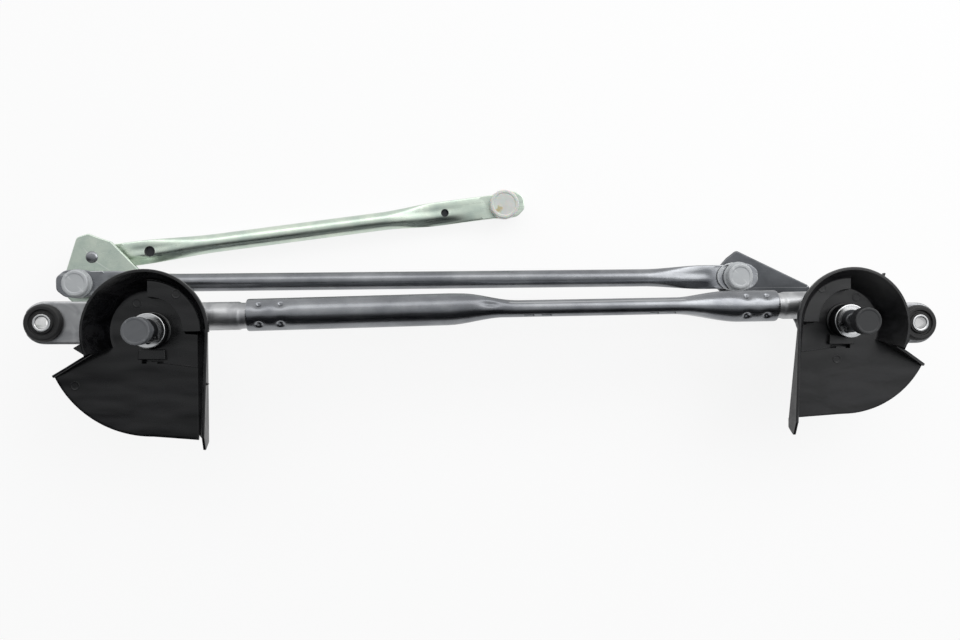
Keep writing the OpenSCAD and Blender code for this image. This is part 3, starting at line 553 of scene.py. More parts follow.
# the same black plastic, glossier and darkened by painted shade, for the left shield
SHADED_SHIELD = moulded_plastic("shade_darkened_black_polypropylene", "#141417", "#030304", "#242427",
                               smooth=0.2, rough=0.38, grain=0.8, dust=0.8, sink=1.4)
CAP = moulded_plastic("moulded_grey_polyethylene", "#66686B", "#56585B", "#7C7E81",
                      smooth=0.5, rough=0.62, grain=0.7, dust=0.6, sink=0.1, ior=1.51)
# the same grey cap plastic darkened by painted shade, for the right cap
SHADED_CAP = moulded_plastic("shade_darkened_grey_polyethylene", "#2C2D2F", "#1F2022", "#3E4042",
                           smooth=0.5, rough=0.62, grain=0.7, dust=0.6, sink=0.1, ior=1.51)
GREY_ACETAL = moulded_plastic("moulded_grey_acetal", "#C0C3C4", "#AEB1B3", "#CFD1D2",
                              smooth=0.3, rough=0.42, grain=0.9, dust=0.7, sink=0.1, ior=1.48)
MILKY = natural_acetal()
RUBBER = moulded_rubber()


# Frame tube

def tube_section(half_top, half_low, depth, count):
    """Oblong section: half widths above and below the axis, and its depth. Angles run from +Y over +Z."""
    radius = (half_top + half_low) / 2
    centre = (half_top - half_low) / 2
    straight = max(depth / 2 - radius, 0.01)
    turn = (np.arange(count) + 0.5) * 2 * math.pi / count
    lift = np.where(np.sin(turn) > 0, straight, -straight)
    return turn, centre + radius * np.cos(turn), lift + radius * np.sin(turn)


def eased(x, start, end):
    """Smooth rise from 0 at the start to 1 at the end."""
    t = np.clip((x - start) / (end - start), 0.0, 1.0)
    return t * t * (3 - 2 * t)


def frame_tube_shape(length):
    """Round tube squeezed to a waist, with dimples at both ends, short slots in the waist and one dent."""
    outer, wall, waist_top, waist_low, deep = 12.25, 1.5, 7.3, 5.5, 31.0
    count = 120
    # along the tube: where the squeeze starts and is full, and where it eases off and is gone
    top_in, top_out = (163, 205), (326, 372)
    low_in, low_out = (150, 194), (328, 378)
    dimple_rows, dimple_turn = (9.5, 25.5, length - 9.5, length - 25.5), 41
    dimples = [(s, 90 + side * dimple_turn) for s in dimple_rows for side in (-1, 1)]
    slots, slot_half, slot_turn = (212.5, 225.5, 308.5, 321.5), 3.4, 146
    # the dent where the waist starts
    fold_at, fold_turn = 182, 70
    stations = np.unique(np.round(np.concatenate([
        np.arange(0, 40, 0.5), np.arange(40, 160, 4), np.arange(160, 205, 1.5), np.arange(205, 331, 0.7),
        np.arange(331, length - 40, 1.5), np.arange(length - 40, length, 0.5), [length],
    ]), 3))

    def widths(s):
        """Half widths above and below the axis, and the depth, at a place along the tube."""
        top = eased(s, *top_in) - eased(s, *top_out)
        low = eased(s, *low_in) - eased(s, *low_out)
        both = (top + low) / 2
        return (outer + (waist_top - outer) * top, outer + (waist_low - outer) * low,
                2 * outer + (deep - 2 * outer) * both)

    def bow(s):
        """Squeezing the waist bent the tube: its axis stands up to 2 mm off a straight line."""
        return 0.4 + 1.5 * min(s, 150) / 150 - 1.5 * eased(s, 150, 196) - 0.4 * eased(s, 330, length)

    rings = []
    for s in stations:
        turn, y, z = tube_section(*widths(s), count)
        y = y + bow(s)
        press = np.zeros(count)
        # each dimple is a sharp pit in a wider hollow
        for at, angle in dimples:
            if abs(s - at) < 14:
                away = np.hypot(s - at, outer * (turn - math.radians(angle)))
                press += 1.9 * np.exp(-(away / 2.0) ** 2) + 0.8 * np.exp(-(away / 5.5) ** 2)
        for at in slots:
            if abs(s - at) < slot_half:
                press += 0.9 * (np.abs(np.degrees(turn) - slot_turn) < 10)
        press += 1.3 * np.exp(-((s - fold_at) / 7.0) ** 2 - ((np.degrees(turn) - fold_turn) / 17.0) ** 2)
        # the ends are rounded over
        press += 0.35 * np.exp(-min(s, length - s) / 0.4)
        rings.append(np.stack([np.full(count, s), y - press * np.cos(turn), z - press * np.sin(turn)], 1))
    for s in stations[::-1][::3]:
        top, low, depth = widths(s)
        # the inner skin keeps clear of the dimples near the ends
        thick = wall + 0.25 + 1.6 * (1 - eased(min(s, length - s), 34, 44))
        turn, y, z = tube_section(top - thick, low - thick, depth - 2 * thick, count)
        rings.append(np.stack([np.full(count, s), y + bow(s), z], 1))
    return skinned(rings, loop=True)


TUBE_LENGTH, TUBE_TURN = run_between(TUBE_START, TUBE_END)
put("squeezed_frame_tube", [frame_tube_shape(TUBE_LENGTH)], "frame", ZINC,
    TUBE_START, turn=TUBE_TURN, nodes=["frame_tube"])


# Pivot housings

def bar_along(start, end, profile):
    """Round bar from start toward end in plan; profile is (mm from start, radius) pairs."""
    turn = run_between(start, end)[1]
    closed = [(0.0, profile[0][0])] + [(r, x) for x, r in profile] + [(0.0, profile[-1][0])]
    return moved(laid_along_x(turned(closed, 72)), (start[0], start[1], 0), turn)


def pivot_housing(spindle, lug, way):
    """Casting in parts: arm with a forked lug, bearing tube, rib, and the spigot for the frame tube.

    way is -1 for the left housing. The shapes are drawn from the spindle's axis."""
    lug_at = lug - spindle
    # radius of the lug and width of its mouth
    reach, gap = 16.0, 15.0
    root, root_half, spigot_root = -way * 30.0, 8.7, -way * 10.5
    fork = math.degrees(math.asin(gap / 2 / reach))
    mouth = math.degrees(math.asin(gap / 2 / LUG_GROOVE))
    away = 180 if way < 0 else 0
    slope = math.tan(math.radians(TUBE_TURN))
    tube_y = TUBE_START[1] + (spindle[0] + root - TUBE_START[0]) * slope - spindle[1]
    outline = arc(*lug_at, reach, away + fork, away + 90, 14)
    outline += [(0, lug_at[1] + way * reach), (root, tube_y + way * root_half),
                (root, tube_y - way * root_half), (0, lug_at[1] - way * reach)]
    outline += arc(*lug_at, reach, away + 270, away + 360 - fork, 14)
    outline += arc(*lug_at, LUG_GROOVE, away + 360 - mouth, away + mouth, 40)
    plate = slab(outline, -LUG_HALF, LUG_HALF, 0.9, [circle(0, 0, 9.4)])
    bearing = turned(rounded([
        (8, HOUSING_LOW, 0.4), (BEARING_RADIUS, HOUSING_LOW, 0.8), (BEARING_RADIUS, HOUSING_TOP, 0.5),
        (8, HOUSING_TOP, 0.4),
    ]), 96)
    foot = turned(rounded([(9, -9, 0), (13.5, -4.5, 2), (13.5, 4.5, 2), (9, 9, 0)]), 96)
    rib_side = [(9.2, 0), (38, -3), (11, -26), (9.2, -26)]
    verts, faces = slab([(way * x, z) for x, z in rib_side], -2.5, 2.5, 0.5)
    rib = verts[:, [0, 2, 1]], [tuple(reversed(face)) for face in faces]
    start = np.array([spigot_root, tube_y + (spigot_root - root) * slope])
    end = (TUBE_START if way < 0 else TUBE_END) - spindle
    shoulder = run_between(start, end)[0]
    spigot = bar_along(start, end, [
        (0, 9.4), (6, 10.7), (shoulder - 6.2, 10.7), (shoulder - 4.7, 9.9), (shoulder + 0.5, 9.8),
        (shoulder + 1.0, 9.0), (shoulder + 36, 9.0),
    ])
    return [plate, bearing, foot, rib, spigot]


for side, at, lug, way in (("left", LEFT_SPINDLE, LEFT_LUG, -1), ("right", RIGHT_SPINDLE, RIGHT_LUG, 1)):
    put(f"{side}_cast_housing", pivot_housing(at, lug, way), "frame", CASTING,
        at, nodes=[f"{side}_pivot_housing"], sharp=60, cast=(0.7, 5))


# Grommets and sleeves

SLOT_HALF = LUG_HALF + 0.1
GROMMET = rounded([
    (SLEEVE_RADIUS, -8.2, 0), (7.6, -9, 0.3), (13, -9, 1.2), (14, -7.4, 1.2), (14, -SLOT_HALF, 0.5),
    (LUG_GROOVE, -SLOT_HALF, 0), (LUG_GROOVE, SLOT_HALF, 0), (14, SLOT_HALF, 0.5), (14, 7.2, 1.4),
    (12.6, 9, 1.2), (10.0, 9, 0.5), (9.6, 7.6, 0.4), (8.3, 7.6, 0.4), (7.9, 8.8, 0.4),
    (SLEEVE_RADIUS, 8.8, 0),
], 5)
BOLT_RADIUS, SLEEVE_HALF = 4.5, 9.5
SLEEVE = rounded([
    (BOLT_RADIUS, -SLEEVE_HALF, 0.4), (SLEEVE_RADIUS, -SLEEVE_HALF, 0.3), (SLEEVE_RADIUS, SLEEVE_HALF, 0.3),
    (BOLT_RADIUS, SLEEVE_HALF, 0.8),
], 4)
for side, lug in (("left", LEFT_LUG), ("right", RIGHT_LUG)):
    put(f"{side}_rubber_grommet", [turned(GROMMET)], "frame", RUBBER,
        lug, nodes=[f"{side}_grommet"])
    put(f"{side}_spacer_sleeve", [turned(SLEEVE, 72)], "frame", BRIGHT,
        lug, nodes=[f"{side}_sleeve"])


# Spindles, washers, clips and caps

TAPER_LOW, TAPER_HIGH, TAPER_STEPS = 30.3, 39.9, 6
THREAD_LOW, THREAD_PITCH, THREAD_TURNS = 40.8, 1.3, 6
SPINDLE = (
    [(0, -44), (6.2, -44), (7.6, -43.4), (8.4, -42.2), (8.4, CRANK_BOTTOM), (PIN_RADIUS, CRANK_BOTTOM)]
    + [(PIN_RADIUS, CRANK_TOP), (SPINDLE_RADIUS, CRANK_TOP), (SPINDLE_RADIUS, 25.9)]
    + [(CLIP_GROOVE, CLIP_LOW), (CLIP_GROOVE, CLIP_TOP), (SPINDLE_RADIUS, 27.4), (SPINDLE_RADIUS, 30.1)]
    + [(5.9, 30.25)]
    + list(zip(np.linspace(5.9, 4.5, TAPER_STEPS + 1), np.linspace(TAPER_LOW, TAPER_HIGH, TAPER_STEPS + 1)))
    + [(4.3, 40), (3.5, 40.5)]
    + [(radius, THREAD_LOW + THREAD_PITCH * (turn + part))
       for turn in range(THREAD_TURNS) for radius, part in ((THREAD_RADIUS, 0.0), (3.4, 0.5))]
    + [(THREAD_RADIUS, SPINDLE_END - 0.5), (3.5, SPINDLE_END), (0, SPINDLE_END)]
)
# number of splines, their depth, and the heights between which they are cut
SPLINES = (48, 0.35, 30.28, 39.95)
THRUST_WASHER = rounded([
    (SPINDLE_RADIUS, HOUSING_TOP + PLAY, 0), (12.7, HOUSING_TOP + PLAY, 0.3), (12.7, CLIP_LOW, 0.45),
    (SPINDLE_RADIUS, CLIP_LOW, 0.2),
], 4)
SPACER_WASHER = rounded([
    (SPINDLE_RADIUS, CRANK_TOP, 0), (BEARING_RADIUS, CRANK_TOP, 0.3),
    (BEARING_RADIUS, HOUSING_LOW - PLAY, 0.3), (SPINDLE_RADIUS, HOUSING_LOW - PLAY, 0),
], 3)
CAP_BORE = THREAD_RADIUS + 0.06
TRANSPORT_CAP = rounded([
    (0, 51.2, 0), (7.6, 51.3, 0.8), (8.4, 51.5, 0.4), (9.9, 51.5, 0.9), (9.9, 43.2, 0.5), (9.4, 42, 0.5),
    (5.2, 42, 0.4), (CAP_BORE, 43, 0.2), (CAP_BORE, SPINDLE_END + PLAY, 0), (0, SPINDLE_END + PLAY, 0),
], 5)
EAR_AT, EAR_RADIUS, EAR_TURN = 8.0, 2.0, 24


def clip_outline():
    """Open ring with a rounded ear on each side of its gap."""
    out = []
    for angle in np.linspace(14, 346, 121):
        radius = 8.6
        for ear in (EAR_TURN, 360 - EAR_TURN):
            off = math.radians(angle - ear)
            if abs(math.sin(off)) < EAR_RADIUS / EAR_AT and math.cos(off) > 0:
                half_chord = math.sqrt(EAR_RADIUS ** 2 - (EAR_AT * math.sin(off)) ** 2)
                radius = max(radius, EAR_AT * math.cos(off) + half_chord)
        out.append(round_point(0, 0, radius, angle))
    return out + arc(0, 0, CLIP_GROOVE, 338, 22, 61)


EAR_HOLES = [circle(*round_point(0, 0, EAR_AT, angle), 0.8, 16) for angle in (EAR_TURN, -EAR_TURN)]
# the right cap takes the grey plastic darkened by painted shade
for side, at, clip_turn, cap in (("left", LEFT_SPINDLE, -60, CAP), ("right", RIGHT_SPINDLE, 220, SHADED_CAP)):
    body = f"{side}_crank"
    put(f"{side}_splined_spindle", [turned(SPINDLE, 192, SPLINES)], body, SHAFT,
        at, nodes=[f"{side}_spindle"])
    put(f"{side}_bright_thrust_washer", [turned(THRUST_WASHER)], body, BRIGHT,
        at, nodes=[f"{side}_thrust_washer"])
    put(f"{side}_lower_spacer", [turned(SPACER_WASHER)], body, BRIGHT,
        at, nodes=[f"{side}_spacer_washer"])
    put(f"{side}_sprung_clip", [slab(clip_outline(), CLIP_LOW, CLIP_TOP, 0.2, EAR_HOLES)], body,
        PHOSPHATE, at, turn=clip_turn, nodes=[f"{side}_retaining_clip"])
    put(f"{side}_push_on_cap", [turned(TRANSPORT_CAP)], f"{side}_cap", cap,
        at, nodes=[f"{side}_transport_cap"])


# Cranks and ball studs

HUB = 14.0
LEFT_HEEL, RIGHT_HEEL = 17.0, 15.0
MOTOR_ARM = MOTOR_BALL - LEFT_SPINDLE


def left_plate_outline():
    """Stamped plate from the hub to the motor ball, then round the link ball and back."""
    x, y = MOTOR_ARM
    hub_end = 43.6
    out = rounded([
        round_point(0, 0, HUB, hub_end) + (0,), (x + 14.4, y + 12.6, 3), (x + 4, y + 16, 3),
        (x - 3, y + 18.8, 4), (x - 12, y + 15.6, 4), round_point(*CRANK_ARM, LEFT_HEEL, 158) + (0,),
    ])
    return out + arc(*CRANK_ARM, LEFT_HEEL, 160, 240, 18) + arc(0, 0, HUB, 240, 360 + hub_end, 30)[:-1]


def right_plate_outline():
    """Stamped plate from the hub round the link ball and back along a waisted edge."""
    x, y = CRANK_ARM
    out = rounded([
        (13.5, 4, 0), (6, HUB - 1, 3), (-4, 29.8, 3), (x + 3.8, y + 22.4, 2.5), (x - 4.3, y + 16.2, 2.5),
        round_point(x, y, RIGHT_HEEL, 160) + (0,),
    ])
    return out + arc(x, y, RIGHT_HEEL, 162, 240, 18) + [(-20, 9)] + arc(0, 0, HUB, 190, 375, 34)


def holes_at(*places):
    """Hole for the spindle, and one for each ball stud."""
    return [circle(0, 0, PIN_RADIUS)] + [circle(x, y, SHANK_RADIUS) for x, y in places]


left_plate = slab(left_plate_outline(), CRANK_BOTTOM, CRANK_TOP, 0.7, holes_at(CRANK_ARM, MOTOR_ARM),
                  band=0.8)
put("left_stamped_crank", [left_plate], "left_crank", GREEN_ZINC,
    LEFT_SPINDLE, nodes=["left_crank_plate"])
# the right crank takes the zinc darkened by painted shade
right_plate = slab(right_plate_outline(), CRANK_BOTTOM, CRANK_TOP, 1.1, holes_at(CRANK_ARM), 4, band=0.8)
put("right_stamped_crank", [right_plate], "right_crank", SHADED_ZINC,
    RIGHT_SPINDLE, nodes=["right_crank_plate"])

PLATE = CRANK_TOP - CRANK_BOTTOM
BALL_STUD = (
    [(0, -5.6), (2.6, -5.5), (4.0, -5.0), (4.7, -4.2), (4.7, -PLATE), (SHANK_RADIUS, -PLATE)]
    + [(SHANK_RADIUS, 0), (6.6, 0), (7, 0.4), (7, 1.3), (6.7, 1.6), (4.7, 1.8), (4.5, 2.3)]
    + [round_point(0, BALL_RISE, BALL_RADIUS, angle) for angle in range(-54, 88, 6)]
    + [(0, BALL_RISE + BALL_RADIUS)]
)
for name, at, height, body, up, finish, node in (
    ("left_link_ball_stud", LEFT_BALL, CRANK_TOP, "left_crank", 1, BRIGHT, "left_link_stud"),
    ("right_link_ball_stud", RIGHT_BALL, CRANK_TOP, "right_crank", 1, BRIGHT, "right_link_stud"),
    ("motor_ball_stud", MOTOR_BALL, CRANK_BOTTOM, "left_crank", -1, ZINC, "motor_stud"),
):
    profile = [(r, up * z) for r, z in BALL_STUD]
    put(name, [turned(profile, 72)], body, finish, at, height, nodes=[node])


# Rods and their sockets

def rod_shape(length, bar, first, last):
    """Round bar whose two ends are pressed flat, by way of a dished face with a bevel along its -Y side.

    first and last are (flat to, bevelled from, round from), each in mm from its own end of the rod."""
    wide, thin, count = 19.3, 2 * EYE_HALF, 72
    flat_a, bevel_a, round_a = first
    flat_b, bevel_b, round_b = (length - x for x in last)
    # the bar starts this far inside its eyes, a little thinner, so that no edge shows where they join
    lead, slim = 7, 0.91
    turn = (np.arange(count) + 0.5) * 2 * math.pi / count
    across, up = np.cos(turn), np.sin(turn)
    drawn = np.stack([bar / 2 * across, bar / 2 * up], 1)
    flat = np.stack([wide / 2 * across, thin / 2 * np.sign(up) * np.abs(up) ** 0.2], 1)
    bevelled = flat.copy()
    top = up > 0
    y = flat[top, 0]
    # on top the bevel runs out to a thin edge, and the face beside it is dished by 0.4 mm
    bevelled[top, 1] *= 1 - 0.95 * eased(y, -1.5, -wide / 2)
    bevelled[top, 1] -= 0.4 * np.exp(-((y - 2.5) / 2.6) ** 2)
    stops = (flat_a - lead, flat_a, bevel_a, round_a, round_b, bevel_b, flat_b, flat_b + lead)
    counts = (15, 12, 30, 30, 30, 12, 15)
    stations = np.unique(np.concatenate([
        np.linspace(*ends, number) for *ends, number in zip(stops, stops[1:], counts)
    ]))
    rings = []
    for x in stations:
        bevel = eased(x, flat_a, bevel_a) - eased(x, bevel_b, flat_b)
        swell = eased(x, bevel_a, round_a) - eased(x, round_b, bevel_b)
        ring = flat + (bevelled - flat) * bevel + (drawn - bevelled) * swell
        full = min(eased(x, flat_a - lead, flat_a - 1), eased(x, flat_b + lead, flat_b + 1))
        ring = ring * (slim + (1 - slim) * full)
        rings.append(np.concatenate([np.full((count, 1), x), ring], 1))
    return skinned(rings)


def eye_shape(neck, way):
    """Flat eye at the origin with a blunt nose and a neck of the given length toward way."""
    nose, r, half, end = -way * 17.0, 11.5, 9.7, way * neck
    # the neck narrows over its last stretch and ends inside the bar
    narrow, tuck = half * 0.75, end - way * 2.5
    outline = rounded([
        (0, r, 0), (nose * 0.62, r * 0.9, 8), (nose, r * 0.44, 5), (nose, -r * 0.44, 5),
        (nose * 0.62, -r * 0.9, 8), (0, -r, 0), (way * 9, -half, 5), (tuck, -half, 0), (end, -narrow, 0),
        (end, narrow, 0), (tuck, half, 0), (way * 9, half, 5),
    ])
    return slab(outline, -2.3, 2.3, 0.55, [circle(0, 0, EYE_HOLE)])


LINK_LENGTH, LINK_TURN = run_between(LEFT_BALL, RIGHT_BALL)
LINK_END = (20, 27, 78)
link_rod = [rod_shape(LINK_LENGTH, 14.0, LINK_END, LINK_END), eye_shape(21, 1),
            moved(eye_shape(21, -1), (LINK_LENGTH, 0, 0))]
put("drawn_link_rod", link_rod, "link", ZINC, LEFT_BALL, LINK_Z, LINK_TURN, nodes=["link_rod"])

MOTOR_LENGTH, MOTOR_TURN = run_between(MOTOR_BALL, FREE_BALL)
MOTOR_CRANK_END, MOTOR_FREE_END = (22, 32, 96), (20, 56, 102)
# places along the rod and radii of the two holes that drain the plating bath
CRANK_HOLE, FREE_HOLE = (41.5, 4.3), (MOTOR_LENGTH - 49.3, 3.2)
motor_bar = rod_shape(MOTOR_LENGTH, 14.8, MOTOR_CRANK_END, MOTOR_FREE_END)
for x, radius in (CRANK_HOLE, FREE_HOLE):
    motor_bar = cut_out(motor_bar, slab(circle(x, 0, radius), -9, 9, 0.1))
motor_rod = [motor_bar, eye_shape(23, 1), moved(eye_shape(21, -1), (MOTOR_LENGTH, 0, 0))]
put("pressed_motor_rod", [moved(shape, turn=MOTOR_TURN) for shape in motor_rod],
    "motor_link", GREEN_ZINC, MOTOR_BALL, MOTOR_Z, nodes=["motor_rod"])
# the pressed rod's lower wall closes its two holes from below, in dark phosphate that is painted shade inside
# the holes
HOLE_SHADE_WALL = turned(rounded([(0, -2.46, 0), (5.2, -2.46, 0.2), (5.2, -1.2, 0.2), (0, -1.2, 0)], 3), 40)
hole_shade_walls = [moved(moved(HOLE_SHADE_WALL, (x, 0, 0)), turn=MOTOR_TURN) for x, _ in (CRANK_HOLE, FREE_HOLE)]
put("motor_rod_hole_shade_wall", hole_shade_walls, "motor_link", PHOSPHATE, MOTOR_BALL, MOTOR_Z)


def socket_profile(dome, flange, clear):
    """Plastic cup that snaps over a ball at the origin, dome up and mouth down.

    dome and flange are radii: a cup whose flange is no wider than its dome has none."""
    out = rounded([(0, 9.6, 0), (dome - 3.0, 9.6, 0.6), (dome - 2.4, 10, 0.6), (dome, 10, 1.6),
                   (dome, EYE_HALF, 0)], 4)
    if flange > dome:
        out = out[:-1] + [(dome, 4.5), (flange, 4.5), (flange, EYE_HALF)]
    mouth = [(EYE_HOLE, EYE_HALF), (EYE_HOLE, -EYE_HALF), (11, -EYE_HALF), (11, -4.6), (10.6, -5), (7, -5),
             (7, -3)]
    bowl = [round_point(0, 0, BALL_RADIUS + clear, angle) for angle in range(-12, 91, 6)]
    return out + mouth + bowl


def oval_flange():
    """Flange of the right link cup, longer toward its rod."""
    turns = np.linspace(0, 2 * math.pi, 64, endpoint=False)
    outline = [(-4.2 + 13.2 * math.cos(t), 11.4 * math.sin(t)) for t in turns]
    return slab(outline, EYE_HALF, 4.2, 0.5, [circle(0, 0, 9)])


GREY, MILK = ("grey_plastic", GREY_ACETAL), ("milky_plastic", MILKY)
LINK_ROD, MOTOR_ROD = ("link", LINK_Z), ("motor_link", MOTOR_Z)
# name, place, rod, which way the dome points, (dome, flange, clearance), plastic, more shapes, node
for name, at, (body, height), up, sizes, (slot, finish), more, node in (
    ("left_link_cup", LEFT_BALL, LINK_ROD, 1, (10.1, 11, 0.06), GREY, [], "left_link_socket"),
    ("right_link_cup", RIGHT_BALL, LINK_ROD, 1, (10.1, 12, 0.1), GREY, [oval_flange()], "right_link_socket"),
    ("crank_motor_cup", MOTOR_BALL, MOTOR_ROD, -1, (10.1, 12, 0.06), GREY, [], "crank_motor_socket"),
    ("free_motor_cup", FREE_BALL, MOTOR_ROD, 1, (11.88, 11.88, 0.06), MILK, [], "free_motor_socket"),
):
    profile = [(r, up * z) for r, z in socket_profile(*sizes)]
    put(name, [turned(profile, 80)] + more, body, finish, at, height, nodes=[node])


# Rain shields, drawn from the spindle's axis with the straight wall toward +X

FLOOR_LOW, FLOOR_TOP, STEP_TOP, RIM_TOP = 11.0, 13.0, 24.0, 33.0
STEP_RADIUS, STEP_EDGE, SLOPE_WIDTH, SKIN = 24.0, -1.0, 12.5, 2.0
COLLAR_HOLE, LEAST_FLOOR = 11.6, 28.0
NOTCH_EDGE = math.radians(209)
SKIRT, TIP_LENGTH, TIP_DROP = 14.0, 10.0, 5.0
# radii of rim and fan, the wall's top x and its foot's lean at both ends, the tip's reach, the notch's
# offset and angle, the snap tab's place, the lip's reach, and the nub's length with its angle or place
SHIELDS = {
    "left": {"rim": 45.2, "rim_at": (0.0, -1.0), "fan": 78.3, "wall": (44.6, 42.4), "lean": (11.2, 8.0),
             "tip": 86.7, "notch": 5.6, "notch_turn": 202, "tab": (0.0, 21.5), "lip": 5.6,
             "nub": (2.4, None)},
    "right": {"rim": 43.4, "rim_at": (0.9, -2.8), "fan": 72.0, "wall": (44.0, 46.2), "lean": (11.0, 8.0),
              "tip": 86.2, "notch": 1.8, "notch_turn": 204, "tab": (2.5, 18.0), "lip": 1.4,
              "nub": (3.2, 121.7)},
}


def soft_step(x, half=0.45):
    """Step from 0 to 1 at x = 0, softened over a short stretch."""
    return eased(x, -half, half)


def wall_line(s, y):
    """Outer x of the straight wall's top, the lean of its foot, and how far along it y lies."""
    t = min(1.0, max(0.0, (STEP_EDGE - y) / (s["tip"] - TIP_LENGTH + STEP_EDGE)))
    (top_a, top_b), (lean_a, lean_b) = s["wall"], s["lean"]
    return top_a + t * (top_b - top_a), lean_a + t * (lean_b - lean_a), t


def inside_fan(s, x, y):
    """Whether a point lies in the fan below the notch's long edge and beside the straight wall."""
    top, lean, _ = wall_line(s, y)
    edge = s["notch"] / math.cos(NOTCH_EDGE - math.pi) + x * math.tan(NOTCH_EDGE - math.pi)
    # the fan's foot runs a little lower toward the wall
    foot = s["fan"] * (1 + 0.045 * max(0.0, x) / s["wall"][1])
    round_part = math.hypot(x, y) < s["fan"] or (x > 0 and -foot < y < 0)
    return round_part and y < edge and x < top - lean - 1.0


def shield_pan(s):
    """Floor, raised step and sloping round wall in one skin, as closed profiles round the rim's centre."""
    cx, cy = s["rim_at"]
    rim_r = s["rim"]
    foot = rim_r - SLOPE_WIDTH
    low_foot = foot - SKIN
    under_top = RIM_TOP - 4
    rise = (RIM_TOP - FLOOR_TOP) / SLOPE_WIDTH
    fall = (under_top - FLOOR_LOW) / SLOPE_WIDTH

    def flat_reach(u, v):
        """How far the flat floor reaches in one direction."""
        best = LEAST_FLOOR
        for r in np.arange(LEAST_FLOOR, s["fan"] + 14, 0.05):
            if not inside_fan(s, cx + r * u, cy + r * v):
                break
            best = r
        return best

    def raised(x, y, shrink):
        """1 on the raised step and 0 on the floor; shrink narrows the step, for its underside."""
        inside = np.minimum(np.minimum(x - STEP_EDGE, y - STEP_EDGE), np.hypot(x, y) - STEP_RADIUS)
        return soft_step(inside - shrink)

    # profiles stand closer together where the skin bends
    last = s["notch_turn"]
    turns = [(a, True) for a in np.concatenate([
        np.arange(0, 6, 0.5), np.arange(6, 84, 2.5), np.arange(84, 98, 0.4), np.arange(98, last, 2.5), [last],
    ])]
    turns += [(a, False) for a in np.concatenate([
        [last + 0.02], np.arange(last + 0.3, 212, 0.25), np.arange(212, 286, 1.5), np.arange(286, 302, 0.5),
        np.arange(302, 358, 2.0), [359.98],
    ])]
    rings = []
    for angle, walled in turns:
        u, v = math.cos(math.radians(angle)), math.sin(math.radians(angle))
        along = cx * u + cy * v
        near = along ** 2 - cx ** 2 - cy ** 2
        inner = -along + math.sqrt(near + COLLAR_HOLE ** 2)
        step_at = -along + math.sqrt(near + STEP_RADIUS ** 2)
        end = rim_r if walled else flat_reach(u, v)
        rim = end - SKIN if walled else end - 0.3
        r = np.concatenate([
            np.linspace(inner, step_at - 0.7, 8), np.linspace(step_at - 0.5, step_at + 0.5, 9),
            np.linspace(step_at + 0.7, low_foot, 6), np.linspace(low_foot, rim, 24)[1:]])
        x, y = cx + r * u, cy + r * v
        z = FLOOR_TOP + (STEP_TOP - FLOOR_TOP) * raised(x, y, 0.0)
        if walled:
            # the wall rises from the floor and from the step out of a soft hollow
            slope = FLOOR_TOP + (r - low_foot) * rise
            soft = 1.6
            mix = np.clip(0.5 + 0.5 * (slope - z) / soft, 0, 1)
            z = np.minimum(z * (1 - mix) + slope * mix + soft * mix * (1 - mix) * 0.5, RIM_TOP)
            lip = [(rim + 0.12, RIM_TOP - 0.02), (rim + 0.6, RIM_TOP), (end - 0.6, RIM_TOP),
                   (end - 0.2, RIM_TOP - 0.15), (end, RIM_TOP - 0.6), (end, RIM_TOP - 2)]
        else:
            lip = [(end - 0.2, FLOOR_TOP - 0.02), (end - 0.08, FLOOR_TOP - 0.1), (end, FLOOR_TOP - 0.35),
                   (end, FLOOR_TOP - 0.6), (end, FLOOR_LOW + 0.5), (end - 0.1, FLOOR_LOW + 0.15)]
        back = np.concatenate([
            np.linspace(end - 0.25, foot, 8), np.linspace(foot - 0.3, step_at + 2.6, 6),
            np.linspace(step_at + 2.4, step_at + 1.6, 5), np.linspace(step_at + 1.3, inner, 6)])
        bx, by = cx + back * u, cy + back * v
        under = FLOOR_LOW + (STEP_TOP - SKIN - FLOOR_LOW) * raised(bx, by, SKIN) * (back < foot)
        if walled:
            under = np.maximum(under, np.minimum(FLOOR_LOW + (back - foot) * fall, under_top))
        ring = [(cx + a * u, cy + a * v, b) for a, b in zip(r, z)]
        ring += [(cx + a * u, cy + a * v, b) for a, b in lip]
        ring += list(zip(bx, by, under))
        rings.append(ring)
    return skinned(rings, loop=True)


def straight_wall(s):
    """Leaning wall that carries on the round one, with a skirt outside that deepens toward the tip."""
    start, stop = STEP_EDGE + 2.0, TIP_LENGTH - s["tip"]
    skirt_skin = 1.2
    rings = []
    for y in np.linspace(start, stop, 19):
        top, lean, t = wall_line(s, y)
        back = lean / (RIM_TOP - FLOOR_LOW)
        skirt = SKIN + t * (SKIRT - SKIN)
        hem = RIM_TOP - skirt
        join = max(hem + 0.2, RIM_TOP - skirt_skin / back)
        ring = [(top - SKIN - back * (RIM_TOP - z), z)
                for z in (FLOOR_LOW, FLOOR_TOP, 18.0, 24.0, 30.0, RIM_TOP - 0.5)]
        ring += [(top - SKIN + 0.3, RIM_TOP - 0.1), (top - 1.0, RIM_TOP), (top - 0.3, RIM_TOP - 0.1)]
        ring += [(top, RIM_TOP - 0.5)] + [(top, RIM_TOP - skirt * k) for k in (0.4, 0.7, 0.97)]
        ring += [(top - 0.3, hem), (top - skirt_skin, hem), (top - skirt_skin, join)]
        ring += [(top - back * (RIM_TOP - z), z) for z in (min(join - 0.3, 24.0), 16.0, FLOOR_LOW)]
        rings.append([(x, y, z) for x, z in ring])
    tip = slab(rounded([
        (stop + 2, RIM_TOP - 0.2, 0), (stop + 2, RIM_TOP - SKIRT, 0),
        (TIP_LENGTH / 2 - s["tip"], RIM_TOP - SKIRT, 1.5), (-s["tip"], RIM_TOP - TIP_DROP, 1.2),
        (stop, RIM_TOP - 0.1, 1.5),
    ]), s["wall"][1] - SKIN + 0.05, s["wall"][1] - 0.02, 0.4)
    return [skinned(rings), laid_along_x(tip)]


